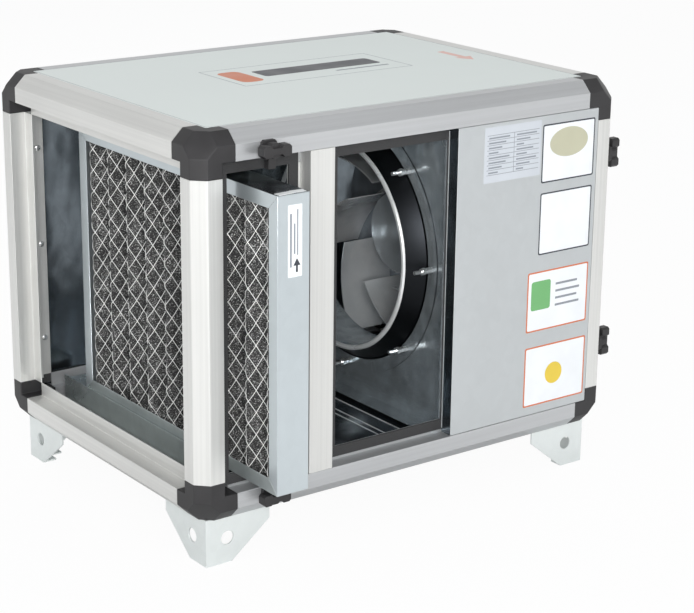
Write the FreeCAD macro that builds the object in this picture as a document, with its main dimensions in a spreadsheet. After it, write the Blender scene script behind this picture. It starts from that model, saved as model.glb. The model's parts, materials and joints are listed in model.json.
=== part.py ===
# Filter fan in an aluminium framed enclosure, millimetres.
# X runs with the air, from the open inlet end to the outlet end. Y runs from the access side to the back.
# The origin is the middle of the outer box, on the level that the feet stand on, and Z is up.
# Places below are written from the frame's lower corner at the inlet end and the access side.
import FreeCAD, Part
import math
import os
import re
import Sketcher
from FreeCAD import Placement, Rotation, Vector

doc = FreeCAD.newDocument("EnclosureFilterFan")
sheet = doc.addObject("Spreadsheet::Sheet", "Sizes")

driving = {
    # frame of corner profiles, caps and mullion
    "cabLength": 740,
    "cabDepth": 556,
    "cabHeight": 540,
    "profSize": 40,
    "profChamfer": 17,
    "profWall": 2,
    "finSetback": 25,
    "finThick": 2,
    "finLength": 20,
    "capLength": 60,
    "capCorner": 49,
    "spigotLength": 22,
    "spigotPlay": 0.3,
    "mullionX": 178.5,
    "mullionWidth": 40,
    # panels and the seals that they are pressed on
    "panelPlay": 0.5,
    "sealThick": 3,
    "sealBare": 5,
    "frontPanelLap": 26,
    "seat": 0.3,
    # partition with its inlet ring
    "fanBay": 282,
    "partitionSheet": 1.5,
    "partitionLip": 28,
    "fanHoleRadius": 172,
    "ringFlangeRadius": 207,
    "ringBendRadius": 184,
    "ringRimRadius": 167,
    "ringRimRoll": 4,
    "ringHeight": 33,
    "ringThroat": 40,
    "ringSheet": 1.5,
    "studCircle": 195,
    "studCount": 8,
    "studRadius": 3,
    "studTip": 34,
    "spacerAcross": 8,
    "spacerLength": 14,
    "nutAcross": 10,
    "nutThick": 5,
    # impeller
    "wheelRadius": 196,
    "wheelGap": 42,
    "wheelDepth": 98,
    "wheelSheet": 2,
    "shroudEye": 164,
    "shroudLip": 8,
    "shroudRise": 16,
    "bladeCount": 7,
    "bladeInner": 84,
    "bladeOuter": 183,
    "bladeSweep": 50,
    "bladePhase": -20,
    "bladeCurve": 184,
    "bladeTab": 14,
    "rotorRadius": 66,
    "rotorDepth": 58,
    "rotorWall": 4,
    "rotorFlangeRadius": 84,
    # fixed half of the motor and its bridge
    "statorRadius": 58,
    "statorPlay": 3,
    "statorPlateRadius": 50,
    "statorFlange": 6,
    "bridgeBack": 100,
    "bridgeWidth": 170,
    "bridgeSheet": 3,
    "bridgeLip": 30,
    "bridgePlay": 4,
    "shaftRadius": 8,
    "shaftPlay": 0.05,
    # outlet
    "outletRadius": 150,
    "outletFlange": 24,
    "collarReach": 35,
    "collarSheet": 1.2,
    # pleated filter and its guides
    "filterX": 68.7,
    "filterThick": 50,
    "filterLength": 515,
    "filterPlay": 9.4,
    "filterOut": 82,
    "filterFlange": 20,
    "filterSheet": 1,
    "pleatCount": 10,
    "pleatCrest": 9,
    "pleatPaper": 4,
    "pleatPlay": 3,
    "guideSheet": 1.5,
    "guideLip": 6,
    "guidePlay": 1.5,
    # turn latches
    "latchX": 109,
    "latchInset": 28,
    "latchHalfSpan": 150,
    "latchBaseLong": 24,
    "latchBaseWide": 22,
    "latchBaseThick": 6,
    "latchShaftRadius": 4,
    "latchHubAcross": 20,
    "latchHubThick": 8,
    "gripHalf": 22,
    "gripLobe": 15,
    "gripWidth": 16,
    "gripWaist": 9,
    "gripHeight": 11,
    "gripCorner": 3,
    "tongueReach": 26,
    "tongueWidth": 12,
    "tongueThick": 5,
    # feet
    "footInset": 22,
    "footArm": 105,
    "footHeight": 70,
    "footEnd": 20,
    "footRun": 42,
    "footSheet": 2.5,
    "footTab": 24,
    "footSole": 22,
    "footHoleRadius": 10,
    "footHoleIn": 35,
    "footHoleDown": 33,
    "footScrewIn": 78,
    "screwHeadAcross": 10,
    "screwHeadThick": 3.5,
}
for row, (alias, number) in enumerate(driving.items(), start=1):
    sheet.set(f"A{row}", alias)
    sheet.set(f"B{row}", str(number))
    sheet.setAlias(f"B{row}", alias)
doc.recompute()

pieces = []


def ref(text):
    return re.sub(r"[A-Za-z]\w*", lambda w: "Sizes." + w[0] if w[0] in driving else w[0], str(text))


def value(text):
    return float(sheet.evalExpression(ref(text)))


def bind(thing, prop, text):
    thing.setExpression(prop, ref(text))


def place(thing, at=("0", "0", "0"), turn=Rotation()):
    thing.Placement = Placement(Vector(0, 0, 0), turn)
    shifts = ("-(cabLength + collarReach) / 2", "-(cabDepth - filterOut) / 2", "footHeight")
    for axis, text, shift in zip("xyz", at, shifts):
        bind(thing, "Placement.Base." + axis, f"{text} + {shift}")
    return thing


def piece(thing, label):
    thing.Label = label
    pieces.append(thing)
    return thing


# part primitives and booleans
def cut(name, base, tool):
    made = doc.addObject("Part::Cut", name)
    made.Base = base
    made.Tool = tool
    return made


def group(name, shapes):
    made = doc.addObject("Part::Compound", name)
    made.Links = shapes
    return made


# bodies made from sketches
def body(label):
    return piece(doc.addObject("PartDesign::Body", label), label)


def sketch(owner, name, role, lift=None, offset=None):
    made = owner.newObject("Sketcher::SketchObject", name)
    plane = [f for f in owner.Origin.OriginFeatures if f.Role == role][0]
    made.AttachmentSupport = (plane, [""])
    made.MapMode = "FlatFace"
    if offset is not None:
        made.AttachmentOffset = offset
    if lift is not None:
        bind(made, "AttachmentOffset.Base.z", lift)
    return made


def pin(drawn, geo, point, across=None, up=None):
    for kind, axis, text in (("DistanceX", -2, across), ("DistanceY", -1, up)):
        if text == "0":
            drawn.addConstraint(Sketcher.Constraint("PointOnObject", geo, point, axis))
        elif text is not None:
            number = drawn.addConstraint(Sketcher.Constraint(kind, -1, 1, geo, point, value(text)))
            bind(drawn, f"Constraints[{number}]", text)


def outline(drawn, points):
    # straight closed outline; each corner is a pair of sizes written in the sheet's words
    first = drawn.GeometryCount
    corners = [Vector(value(a), value(b), 0) for a, b in points]
    for i, corner in enumerate(corners):
        drawn.addGeometry(Part.LineSegment(corner, corners[(i + 1) % len(corners)]))
    for i in range(len(corners)):
        after = first + (i + 1) % len(corners)
        drawn.addConstraint(Sketcher.Constraint("Coincident", first + i, 2, after, 1))
    for i, (a, b) in enumerate(points):
        pin(drawn, first + i, 1, a, b)
    return drawn


def oblong(drawn, low, high):
    return outline(drawn, [(low[0], low[1]), (high[0], low[1]), (high[0], high[1]), (low[0], high[1])])


def circle(drawn, across, up, radius):
    at = Vector(value(across), value(up), 0)
    geo = drawn.addGeometry(Part.Circle(at, Vector(0, 0, 1), value(radius)))
    if across == "0" and up == "0":
        drawn.addConstraint(Sketcher.Constraint("Coincident", geo, 3, -1, 1))
    else:
        pin(drawn, geo, 3, across, up)
    number = drawn.addConstraint(Sketcher.Constraint("Radius", geo, value(radius)))
    bind(drawn, f"Constraints[{number}]", radius)
    return drawn


def octagon(across, radius):
    # the eight corners round a point on the sketch's first axis
    corners = []
    for i in range(8):
        up = f"({radius}) * sin({45 * i})" if i % 4 else "0"
        corners.append((f"{across} + ({radius}) * cos({45 * i})", up))
    return corners


def chamfered(wide, long, corner):
    # a rectangle about the origin with its corners cut
    points = []
    for sx, sy, turned in ((-1, -1, 0), (1, -1, 1), (1, 1, 0), (-1, 1, 1)):
        side = (f"{sx} * {wide}", f"{sy} * ({long} - {corner})")
        end = (f"{sx} * ({wide} - {corner})", f"{sy} * {long}")
        points += [end, side] if turned else [side, end]
    return points


def feature(owner, kind, name, drawn, length=None, reverse=False, through=False):
    made = owner.newObject("PartDesign::" + kind, name)
    made.Profile = drawn
    made.Reversed = reverse
    if through:
        made.Type = "ThroughAll"
    if length is not None:
        bind(made, "Length", length)
    return made


def spin(owner, name, drawn, axis="X_Axis"):
    made = owner.newObject("PartDesign::Revolution", name)
    made.Profile = drawn
    line = [f for f in owner.Origin.OriginFeatures if f.Role == axis][0]
    made.ReferenceAxis = (line, [""])
    made.Angle = 360
    return made


def around(owner, name, features, count, axis="X_Axis"):
    made = owner.newObject("PartDesign::PolarPattern", name)
    made.Originals = features
    line = [f for f in owner.Origin.OriginFeatures if f.Role == axis][0]
    made.Axis = (line, [""])
    made.Angle = 360
    bind(made, "Occurrences", count)
    owner.Tip = made
    return made


# places along the cabinet, from its outlet end
partitionX = "(cabLength - fanBay)"
frontPanelX = f"({partitionX} - frontPanelLap)"
wheelFront = f"({partitionX} + wheelGap)"

# frame profiles: a chamfered tube with two fins that carry the panels
finTip = "(profSize + finLength)"
finBack = "(finSetback + finThick)"
tubeIn = "(profSize - profWall)"
innerChamfer = "(profChamfer + (sqrt(2) - 1) * profWall)"
finNotch = "max(0; profSize + finLength - capLength)"
tubeSection = [
    ("profChamfer", "0"),
    ("profSize", "0"),
    ("profSize", "profSize"),
    ("0", "profSize"),
    ("0", "profChamfer"),
]
hollowSection = [
    (innerChamfer, "profWall"),
    (tubeIn, "profWall"),
    (tubeIn, tubeIn),
    ("profWall", tubeIn),
    ("profWall", innerChamfer),
]


def profile(label, length, notch, at, turn):
    made = body(label)
    tube = sketch(made, label + "_section", "XY_Plane")
    outline(tube, tubeSection)
    outline(tube, hollowSection)
    feature(made, "Pad", label + "_tube", tube, length)
    fins = sketch(made, label + "_fins", "XY_Plane", lift=notch)
    oblong(fins, ("profSize", "finSetback"), (finTip, finBack))
    oblong(fins, ("finSetback", "profSize"), (finBack, finTip))
    feature(made, "Pad", label + "_fin_pad", fins, f"{length} - 2 * {notch}")
    return place(made, at, turn)


postLength = "(cabHeight - 2 * capLength)"
alongLength = "(cabLength - 2 * capLength)"
acrossLength = "(cabDepth - 2 * capLength)"
alongX = Rotation(Vector(1, 1, 1), 120)
alongY = Rotation(Vector(1, 1, 1), 240)


def aboutX(angle):
    return Rotation(Vector(1, 0, 0), angle)


def aboutY(angle):
    return Rotation(Vector(0, 1, 0), angle)


def aboutZ(angle):
    return Rotation(Vector(0, 0, 1), angle)


def frameProfiles():
    for label, x, y, angle in (
        ("post_front_left", "0", "0", 0),
        ("post_front_right", "cabLength", "0", 90),
        ("post_back_right", "cabLength", "cabDepth", 180),
        ("post_back_left", "0", "cabDepth", 270),
    ):
        profile(label, postLength, "0", (x, y, "capLength"), aboutZ(angle))
    for label, y, z, angle in (
        ("rail_bottom_front", "0", "0", 0),
        ("rail_top_front", "0", "cabHeight", -90),
        ("rail_top_back", "cabDepth", "cabHeight", 180),
        ("rail_bottom_back", "cabDepth", "0", 90),
    ):
        profile(label, alongLength, finNotch, ("capLength", y, z), aboutX(angle) * alongX)
    for label, x, z, angle in (
        ("rail_bottom_left", "0", "0", 0),
        ("rail_bottom_right", "cabLength", "0", -90),
        ("rail_top_right", "cabLength", "cabHeight", 180),
        ("rail_top_left", "0", "cabHeight", 90),
    ):
        profile(label, acrossLength, finNotch, (x, "capLength", z), aboutY(angle) * alongY)


# three-way corner cap: arms of the tube's section, spigots inside the tubes and a cut corner
def cornerCap(label, at, turn):
    made = body(label)
    spigotLow = "(profWall + spigotPlay)"
    spigotHigh = "(profSize - profWall - spigotPlay)"
    spigotCut = "(profChamfer + (sqrt(2) - 1) * profWall + sqrt(2) * spigotPlay)"
    plug = [
        (spigotCut, spigotLow),
        (spigotHigh, spigotLow),
        (spigotHigh, spigotHigh),
        (spigotLow, spigotHigh),
        (spigotLow, spigotCut),
    ]
    arms = (("x", "YZ_Plane", False), ("y", "XZ_Plane", True), ("z", "XY_Plane", False))
    for axis, role, reverse in arms:
        arm = sketch(made, f"{label}_arm_{axis}", role)
        oblong(arm, ("0", "0"), ("profSize", "profSize"))
        feature(made, "Pad", f"{label}_arm_pad_{axis}", arm, "capLength", reverse=reverse)
    for axis, role, reverse in arms:
        spigot = sketch(made, f"{label}_spigot_{axis}", role)
        outline(spigot, plug)
        feature(made, "Pad", f"{label}_spigot_pad_{axis}", spigot, "capLength + spigotLength", reverse=reverse)
    for axis, role, reverse in arms:
        edge = sketch(made, f"{label}_edge_{axis}", role)
        outline(edge, [("0", "0"), ("profChamfer", "0"), ("0", "profChamfer")])
        feature(made, "Pocket", f"{label}_chamfer_{axis}", edge, "capLength", reverse=not reverse)
    slope = Placement(Vector(0, 0, 0), Rotation(Vector(0, 0, 1), Vector(1, 1, 1)))
    corner = sketch(made, label + "_corner", "XY_Plane", offset=slope)
    for axis in "xyz":
        bind(corner, "AttachmentOffset.Base." + axis, "capCorner / 3")
    oblong(corner, ("-2 * capCorner", "-2 * capCorner"), ("2 * capCorner", "2 * capCorner"))
    feature(made, "Pocket", label + "_corner_cut", corner, "capCorner")
    return place(made, at, turn)


def cornerCaps():
    for name, x, y, angle in (
        ("front_left", "0", "0", 0),
        ("front_right", "cabLength", "0", 90),
        ("back_right", "cabLength", "cabDepth", 180),
        ("back_left", "0", "cabDepth", 270),
    ):
        cornerCap("cap_bottom_" + name, (x, y, "0"), aboutZ(angle))
        cornerCap("cap_top_" + name, (x, y, "cabHeight"), aboutZ(angle) * aboutX(-90))


# front mullion: a tube before the rails' fins, with its own fins between them
def mullion():
    made = body("front_mullion")
    depth = "finSetback"
    tube = sketch(made, "mullion_section", "XY_Plane")
    oblong(tube, ("0", "0"), ("mullionWidth", depth))
    oblong(tube, ("profWall", "profWall"), ("mullionWidth - profWall", "finSetback - profWall"))
    feature(made, "Pad", "mullion_tube", tube, "cabHeight - 2 * profSize - 2 * seat")
    fins = sketch(made, "mullion_fins", "XY_Plane", lift="finLength")
    oblong(fins, ("-finLength", "finSetback"), ("mullionWidth + finLength", finBack))
    feature(made, "Pad", "mullion_fin_pad", fins, "cabHeight - 2 * profSize - 2 * finLength - 2 * seat")
    place(made, ("mullionX", "0", "profSize + seat"))


# insulated panels, each pressed on a seal that lies on the fins
panelThick = "(finSetback - sealThick)"
edgeGap = "(profSize + panelPlay)"
sealEdge = "(profSize + sealBare)"


def panel(label, role, across, up, lift, reverse=False):
    made = body(label)
    face = sketch(made, label + "_face", role, lift=lift)
    oblong(face, (across[0], up[0]), (across[1], up[1]))
    feature(made, "Pad", label + "_pad", face, panelThick, reverse=reverse)
    return place(made)


def panels():
    along = (edgeGap, f"cabLength - {edgeGap}")
    across = (edgeGap, f"cabDepth - {edgeGap}")
    tall = (edgeGap, f"cabHeight - {edgeGap}")
    panel("top_panel", "XY_Plane", along, across, f"cabHeight - {panelThick}")
    panel("bottom_panel", "XY_Plane", along, across, "0")
    panel("back_panel", "XZ_Plane", along, tall, "-cabDepth")
    panel("front_panel", "XZ_Plane", (frontPanelX, along[1]), tall, f"-{panelThick}")
    outlet = panel("outlet_panel", "YZ_Plane", across, tall, f"cabLength - {panelThick}")
    hole = sketch(outlet, "outlet_hole", "YZ_Plane", lift="cabLength")
    circle(hole, "cabDepth / 2", "cabHeight / 2", "outletRadius")
    feature(outlet, "Pocket", "outlet_hole_cut", hole, f"{panelThick} + 1")


def sealRing(label, role, low, high, inner, lift):
    # inner holds the two corners of the opening
    made = doc.addObject("PartDesign::Body", label)
    made.Label = label
    ring = sketch(made, label + "_ring", role, lift=lift)
    oblong(ring, low, high)
    oblong(ring, inner[0], inner[1])
    feature(made, "Pad", label + "_pad", ring, "sealThick")
    return place(made)


def seals():
    top = f"cabHeight - {sealEdge}"
    topIn = f"cabHeight - {finTip}"
    right = f"cabLength - {sealEdge}"
    rightIn = f"cabLength - {finTip}"
    back = f"cabDepth - {sealEdge}"
    backIn = f"cabDepth - {finTip}"
    frontLift = "-finSetback"
    piece(
        sealRing(
            "filter_door_seal",
            "XZ_Plane",
            (sealEdge, sealEdge),
            ("mullionX - sealBare", top),
            ((finTip, finTip), ("mullionX - finLength", topIn)),
            frontLift,
        ),
        "filter_door_seal",
    )
    mullionEdge = "mullionX + mullionWidth"
    front = sealRing(
        "front_seal",
        "XZ_Plane",
        (f"{mullionEdge} + sealBare", sealEdge),
        (right, top),
        ((f"{mullionEdge} + finLength", finTip), (rightIn, topIn)),
        frontLift,
    )
    bar = sketch(front, "front_seal_bar", "XZ_Plane", lift=frontLift)
    oblong(bar, (frontPanelX, sealEdge), (f"{frontPanelX} + finLength - sealBare", top))
    feature(front, "Pad", "front_seal_bar_pad", bar, "sealThick")
    piece(front, "front_seal")
    level = ((sealEdge, sealEdge), (right, back), ((finTip, finTip), (rightIn, backIn)))
    upright = ((sealEdge, sealEdge), (back, top), ((finTip, finTip), (backIn, topIn)))
    rear = ((sealEdge, sealEdge), (right, top), ((finTip, finTip), (rightIn, topIn)))
    rings = [
        sealRing("top_seal", "XY_Plane", *level, "cabHeight - finSetback"),
        sealRing("bottom_seal", "XY_Plane", *level, panelThick),
        sealRing("back_seal", "XZ_Plane", *rear, f"-cabDepth + {panelThick}"),
        sealRing("outlet_seal", "YZ_Plane", *upright, "cabLength - finSetback"),
    ]
    piece(group("panel_seals", rings), "panel_seals")


# partition: a folded tray whose front lip backs the edge of the front panel
axisY = "(cabDepth / 2)"
axisZ = "(cabHeight / 2)"


def partition():
    made = body("partition")
    near = f"(finSetback - {axisY})"
    far = f"({axisY} - finSetback)"
    nearIn = f"(profSize + panelPlay - {axisY})"
    farIn = f"({axisY} - profSize - panelPlay)"
    low = f"({finBack} + seat - {axisZ})"
    high = f"({axisZ} - {finBack} - seat)"
    lowIn = f"({finTip} + seat - {axisZ})"
    highIn = f"({axisZ} - {finTip} - seat)"
    web = sketch(made, "partition_web", "YZ_Plane")
    outline(
        web,
        [
            (nearIn, low),
            (farIn, low),
            (farIn, lowIn),
            (far, lowIn),
            (far, highIn),
            (farIn, highIn),
            (farIn, high),
            (nearIn, high),
            (nearIn, highIn),
            (near, highIn),
            (near, lowIn),
            (nearIn, lowIn),
        ],
    )
    feature(made, "Pad", "partition_web_pad", web, "partitionSheet")
    lips = sketch(made, "partition_lips", "YZ_Plane")
    oblong(lips, (near, lowIn), (f"{near} + partitionSheet", highIn))
    oblong(lips, (f"{far} - partitionSheet", lowIn), (far, highIn))
    oblong(lips, (nearIn, low), (farIn, f"{low} + partitionSheet"))
    oblong(lips, (nearIn, f"{high} - partitionSheet"), (farIn, high))
    feature(made, "Pad", "partition_lip_pad", lips, "partitionLip", reverse=True)
    hole = sketch(made, "partition_hole", "YZ_Plane")
    circle(hole, "0", "0", "fanHoleRadius")
    feature(made, "Pocket", "partition_hole_cut", hole, "2 * partitionSheet", reverse=True)
    place(made, (partitionX, axisY, axisZ))


# inlet ring: flange on the partition, a cone up to a rolled rim, then the throat
def rolledRim(across, up, radius, angles):
    # the roll is bent in three flats
    return [(f"{across} + ({radius}) * cos({angle})", f"{up} + ({radius}) * sin({angle})") for angle in angles]


def inletRing():
    made = body("inlet_ring")
    drawn = sketch(made, "ring_section", "XY_Plane")
    rimX = "(ringRimRoll - ringHeight)"
    rimY = "(ringRimRadius - ringRimRoll)"
    throatR = "(ringRimRadius - 2 * ringRimRoll)"
    outline(
        drawn,
        [
            ("ringThroat", throatR),
            ("ringThroat", f"{throatR} + ringSheet"),
            *rolledRim(rimX, rimY, "ringRimRoll - ringSheet", (270, 210, 150, 90)),
            ("0", "ringBendRadius - ringSheet"),
            ("0", "ringFlangeRadius"),
            ("-ringSheet", "ringFlangeRadius"),
            ("-ringSheet", "ringBendRadius"),
            *rolledRim(rimX, rimY, "ringRimRoll", (90, 150, 210, 270)),
        ],
    )
    spin(made, "ring_turned", drawn)
    doc.recompute()
    stud = sketch(made, "ring_stud_hole", "YZ_Plane")
    outline(stud, octagon("studCircle", "studRadius + seat"))
    bore = feature(made, "Pocket", "ring_stud_cut", stud, "2 * ringSheet")
    around(made, "ring_stud_cuts", [bore], "studCount")
    place(made, (partitionX, axisY, axisZ))


# round the fan axis, as separate solids of one node
def ringOf(label, name, count, maker, x):
    solids = []
    for i in range(int(value(count))):
        angle = f"(360 / {count} * {i})"
        at = (x, f"{axisY} + studCircle * cos({angle})", f"{axisZ} + studCircle * sin({angle})")
        solids.append(maker(f"{name}_{i}", at))
    return piece(group(label, solids), label)


def prism(name, sides, at, radius, height, turn):
    made = doc.addObject("Part::Prism", name)
    made.Polygon = sides
    bind(made, "Circumradius", radius)
    bind(made, "Height", height)
    return place(made, at, turn)


def hexagon(name, at, across, height, turn):
    return prism(name, 6, at, f"{across} / sqrt(3)", height, turn)


def hexSleeve(name, at, across, height):
    outer = hexagon(name + "_hex", at, across, height, aboutY(90))
    bore = prism(name + "_bore", 8, at, "studRadius + spigotPlay", height, aboutY(90))
    return cut(name, outer, bore)


def hexNut(name, at):
    return hexSleeve(name, at, "nutAcross", "nutThick")


def spacer(name, at):
    return hexSleeve(name, at, "spacerAcross", "spacerLength")


def stud(name, at):
    return prism(name, 8, at, "studRadius", "studTip", aboutY(90))


def ringFasteners():
    spacerX = f"({partitionX} - ringSheet - spacerLength)"
    ringOf("ring_studs", "stud", "studCount", stud, f"{partitionX} - studTip")
    ringOf("ring_spacers", "spacer", "studCount", spacer, spacerX)
    ringOf("ring_nuts", "nut", "studCount", hexNut, f"{spacerX} - nutThick")


# impeller: back plate, blades with riveted tabs, shroud and the motor's outer rotor
plateX = f"({wheelFront} + wheelDepth)"
bridgeX = "(cabLength - bridgeBack)"


def backPlate():
    made = body("impeller_back_plate")
    disc = sketch(made, "back_plate_disc", "YZ_Plane")
    circle(disc, "0", "0", "wheelRadius")
    circle(disc, "0", "0", "rotorRadius + spigotPlay")
    feature(made, "Pad", "back_plate_pad", disc, "wheelSheet")
    place(made, (plateX, axisY, axisZ))


def shroud():
    made = body("impeller_shroud")
    drawn = sketch(made, "shroud_section", "XY_Plane")
    outline(
        drawn,
        [
            ("-shroudLip", "shroudEye"),
            ("0", "shroudEye"),
            ("shroudRise", "wheelRadius"),
            ("shroudRise - wheelSheet", "wheelRadius"),
            ("-wheelSheet / 2", "shroudEye + wheelSheet"),
            ("-shroudLip", "shroudEye + wheelSheet"),
        ],
    )
    spin(made, "shroud_turned", drawn)
    place(made, (wheelFront, axisY, axisZ))


def bladeStrip(made, name, width, lift, length):
    # a strip of the blade's curve, as wide as is stated, from the eye of the wheel out to its rim
    drawn = sketch(made, name, "YZ_Plane", lift=lift)
    ends = (("bladeInner", "0"), ("bladeOuter * cos(bladeSweep)", "-bladeOuter * sin(bladeSweep)"))
    inner, outer = (Vector(value(a), value(b), 0) for a, b in ends)
    chord = outer - inner
    curve, wide = value("bladeCurve"), value(width)
    across = Vector(chord.y, -chord.x, 0).normalize()
    centre = (inner + outer) / 2 + across * math.sqrt(curve**2 - (chord.Length / 2) ** 2)
    first = math.atan2(outer.y - centre.y, outer.x - centre.x)
    last = math.atan2(inner.y - centre.y, inner.x - centre.x)
    if last < first:
        last += 2 * math.pi
    for radius in (curve, curve + wide):
        ring = Part.Circle(centre, Vector(0, 0, 1), radius)
        drawn.addGeometry(Part.ArcOfCircle(ring, first, last))
    for end in (outer, inner):
        side = end + (end - centre).normalize() * wide
        drawn.addGeometry(Part.LineSegment(end, side))
    # the arcs are 0 and 1 and the lines at the rim and at the eye are 2 and 3
    for join in ((0, 1, 2, 1), (1, 1, 2, 2), (0, 2, 3, 1), (1, 2, 3, 2), (0, 3, 1, 3)):
        drawn.addConstraint(Sketcher.Constraint("Coincident", *join))
    for line in (2, 3):
        drawn.addConstraint(Sketcher.Constraint("PointOnObject", 0, 3, line))
    pin(drawn, 0, 2, *ends[0])
    pin(drawn, 0, 1, *ends[1])
    for geo, radius in ((0, "bladeCurve"), (1, f"bladeCurve + {width}")):
        number = drawn.addConstraint(Sketcher.Constraint("Radius", geo, value(radius)))
        bind(drawn, f"Constraints[{number}]", radius)
    return feature(made, "Pad", name + "_pad", drawn, length)


def blades():
    made = body("impeller_blades")
    made.AllowCompound = True
    blade = bladeStrip(made, "blade", "wheelSheet", "seat", "wheelDepth - 2 * seat")
    tab = bladeStrip(made, "blade_tab", "bladeTab", "wheelDepth - seat - wheelSheet", "wheelSheet")
    around(made, "blade_ring", [blade, tab], "bladeCount")
    doc.recompute()
    cone = sketch(made, "blade_front", "XY_Plane")
    outline(
        cone,
        [
            ("-seat", "shroudEye"),
            ("seat", "shroudEye"),
            ("shroudRise + seat", "wheelRadius"),
            ("shroudRise + seat", "wheelRadius + bladeTab"),
            ("-seat", "wheelRadius + bladeTab"),
        ],
    )
    groove = made.newObject("PartDesign::Groove", "blade_front_cut")
    groove.Profile = cone
    line = [f for f in made.Origin.OriginFeatures if f.Role == "X_Axis"][0]
    groove.ReferenceAxis = (line, [""])
    groove.Angle = 360
    made.Tip = groove
    place(made, (wheelFront, axisY, axisZ), aboutX(value("bladePhase")))


def rotor():
    made = body("motor_rotor")
    drawn = sketch(made, "rotor_section", "XY_Plane")
    flangeX = "(rotorDepth + wheelSheet)"
    outline(
        drawn,
        [
            ("0", "0"),
            ("rotorWall", "0"),
            ("rotorWall", "rotorRadius - rotorWall"),
            (f"{flangeX} + rotorWall", "rotorRadius - rotorWall"),
            (f"{flangeX} + rotorWall", "rotorFlangeRadius"),
            (flangeX, "rotorFlangeRadius"),
            (flangeX, "rotorRadius"),
            ("rotorWall", "rotorRadius"),
            ("0", "rotorRadius - rotorWall"),
        ],
    )
    spin(made, "rotor_turned", drawn)
    hub = sketch(made, "rotor_shaft", "YZ_Plane", lift="rotorWall")
    circle(hub, "0", "0", "shaftRadius")
    feature(made, "Pad", "rotor_shaft_pad", hub, f"{bridgeX} - {plateX} + rotorDepth - rotorWall")
    place(made, (f"{plateX} - rotorDepth", axisY, axisZ))


# the motor's fixed half stands on a folded bridge from floor to roof
def stator():
    made = body("motor_stator")
    drawn = sketch(made, "stator_section", "XY_Plane")
    start = f"({plateX} - rotorDepth + rotorWall + statorPlay)"
    bore = "(shaftRadius + shaftPlay)"
    outline(
        drawn,
        [
            (f"{start} - {bridgeX}", bore),
            ("0", bore),
            ("0", "statorPlateRadius + bridgeSheet"),
            ("-statorFlange", "statorPlateRadius + bridgeSheet"),
            ("-statorFlange", "statorRadius - statorPlay"),
            (f"{start} - {bridgeX}", "statorRadius - statorPlay"),
        ],
    )
    spin(made, "stator_turned", drawn)
    place(made, (bridgeX, axisY, axisZ))


def bridge():
    made = body("motor_bridge")
    low = f"({finBack} + seat - {axisZ})"
    half = "(bridgeWidth / 2)"
    lowEdge = f"({panelThick} + seat - {axisZ})"
    web = sketch(made, "bridge_web", "YZ_Plane")
    oblong(web, (f"-{half}", lowEdge), (half, f"-{lowEdge}"))
    feature(made, "Pad", "bridge_web_pad", web, "bridgeSheet")
    lips = sketch(made, "bridge_lips", "YZ_Plane", lift="bridgeSheet")
    oblong(lips, (f"-{half}", lowEdge), (half, f"-{lowEdge}"))
    lipIn = (f"{half} - bridgeSheet", f"-{lowEdge} - bridgeSheet")
    oblong(lips, (f"bridgeSheet - {half}", f"{lowEdge} + bridgeSheet"), lipIn)
    feature(made, "Pad", "bridge_lip_pad", lips, "bridgeLip")
    hole = sketch(made, "bridge_hole", "YZ_Plane")
    circle(hole, "0", "0", "shaftRadius + bridgePlay")
    feature(made, "Pocket", "bridge_hole_cut", hole, "bridgeSheet", reverse=True)
    place(made, (bridgeX, axisY, axisZ))


# outlet collar: a flange on the end panel and a short duct spigot
def outletCollar():
    made = body("outlet_collar")
    drawn = sketch(made, "collar_section", "XY_Plane")
    pipe = "(outletRadius - panelPlay)"
    outline(
        drawn,
        [
            ("0", f"{pipe} - collarSheet"),
            ("collarReach", f"{pipe} - collarSheet"),
            ("collarReach", pipe),
            ("collarSheet", pipe),
            ("collarSheet", "outletRadius + outletFlange"),
            ("0", "outletRadius + outletFlange"),
        ],
    )
    spin(made, "collar_turned", drawn)
    place(made, ("cabLength", axisY, axisZ))


# pleated filter in a folded frame, drawn partly out of the access side
filterFoot = f"({finTip} + seat)"
filterHeight = f"(cabHeight - 2 * {filterFoot} - filterPlay)"


def filterFrame():
    made = body("filter_frame")
    outer = sketch(made, "filter_outer", "XY_Plane")
    oblong(outer, ("0", "0"), ("filterThick", "filterLength"))
    feature(made, "Pad", "filter_block", outer, filterHeight)
    window = sketch(made, "filter_window", "YZ_Plane")
    windowFar = ("filterLength - filterFlange", f"{filterHeight} - filterFlange")
    oblong(window, ("filterFlange", "filterFlange"), windowFar)
    feature(made, "Pocket", "filter_window_cut", window, "filterThick", reverse=True)
    cavity = sketch(made, "filter_cavity", "YZ_Plane", lift="filterSheet")
    cavityFar = ("filterLength - filterSheet", f"{filterHeight} - filterSheet")
    oblong(cavity, ("filterSheet", "filterSheet"), cavityFar)
    feature(made, "Pocket", "filter_cavity_cut", cavity, "filterThick - 2 * filterSheet", reverse=True)
    place(made, ("filterX", "-filterOut", filterFoot))


def pleatPath(shift):
    # wave with flat crests across the filter, from one face of the frame to the other
    near = "(filterSheet + pleatPlay)"
    far = "(filterThick - filterSheet - pleatPlay - pleatPaper)"
    start = "(filterSheet + seat)"
    pitch = "((filterLength - 2 * filterSheet - 2 * seat) / pleatCount)"
    points = [(f"{far} + {shift}", start)]
    for i in range(int(value("pleatCount"))):
        for side, where in ((far, "0"), (near, f"{pitch} / 2"), (far, pitch)):
            middle = f"{start} + {pitch} * {i} + {where}"
            if where != "0":
                points.append((f"{side} + {shift}", f"{middle} - pleatCrest / 2"))
            if where != pitch:
                points.append((f"{side} + {shift}", f"{middle} + pleatCrest / 2"))
    points.append((f"{far} + {shift}", f"{start} + {pitch} * pleatCount"))
    return points


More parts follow.
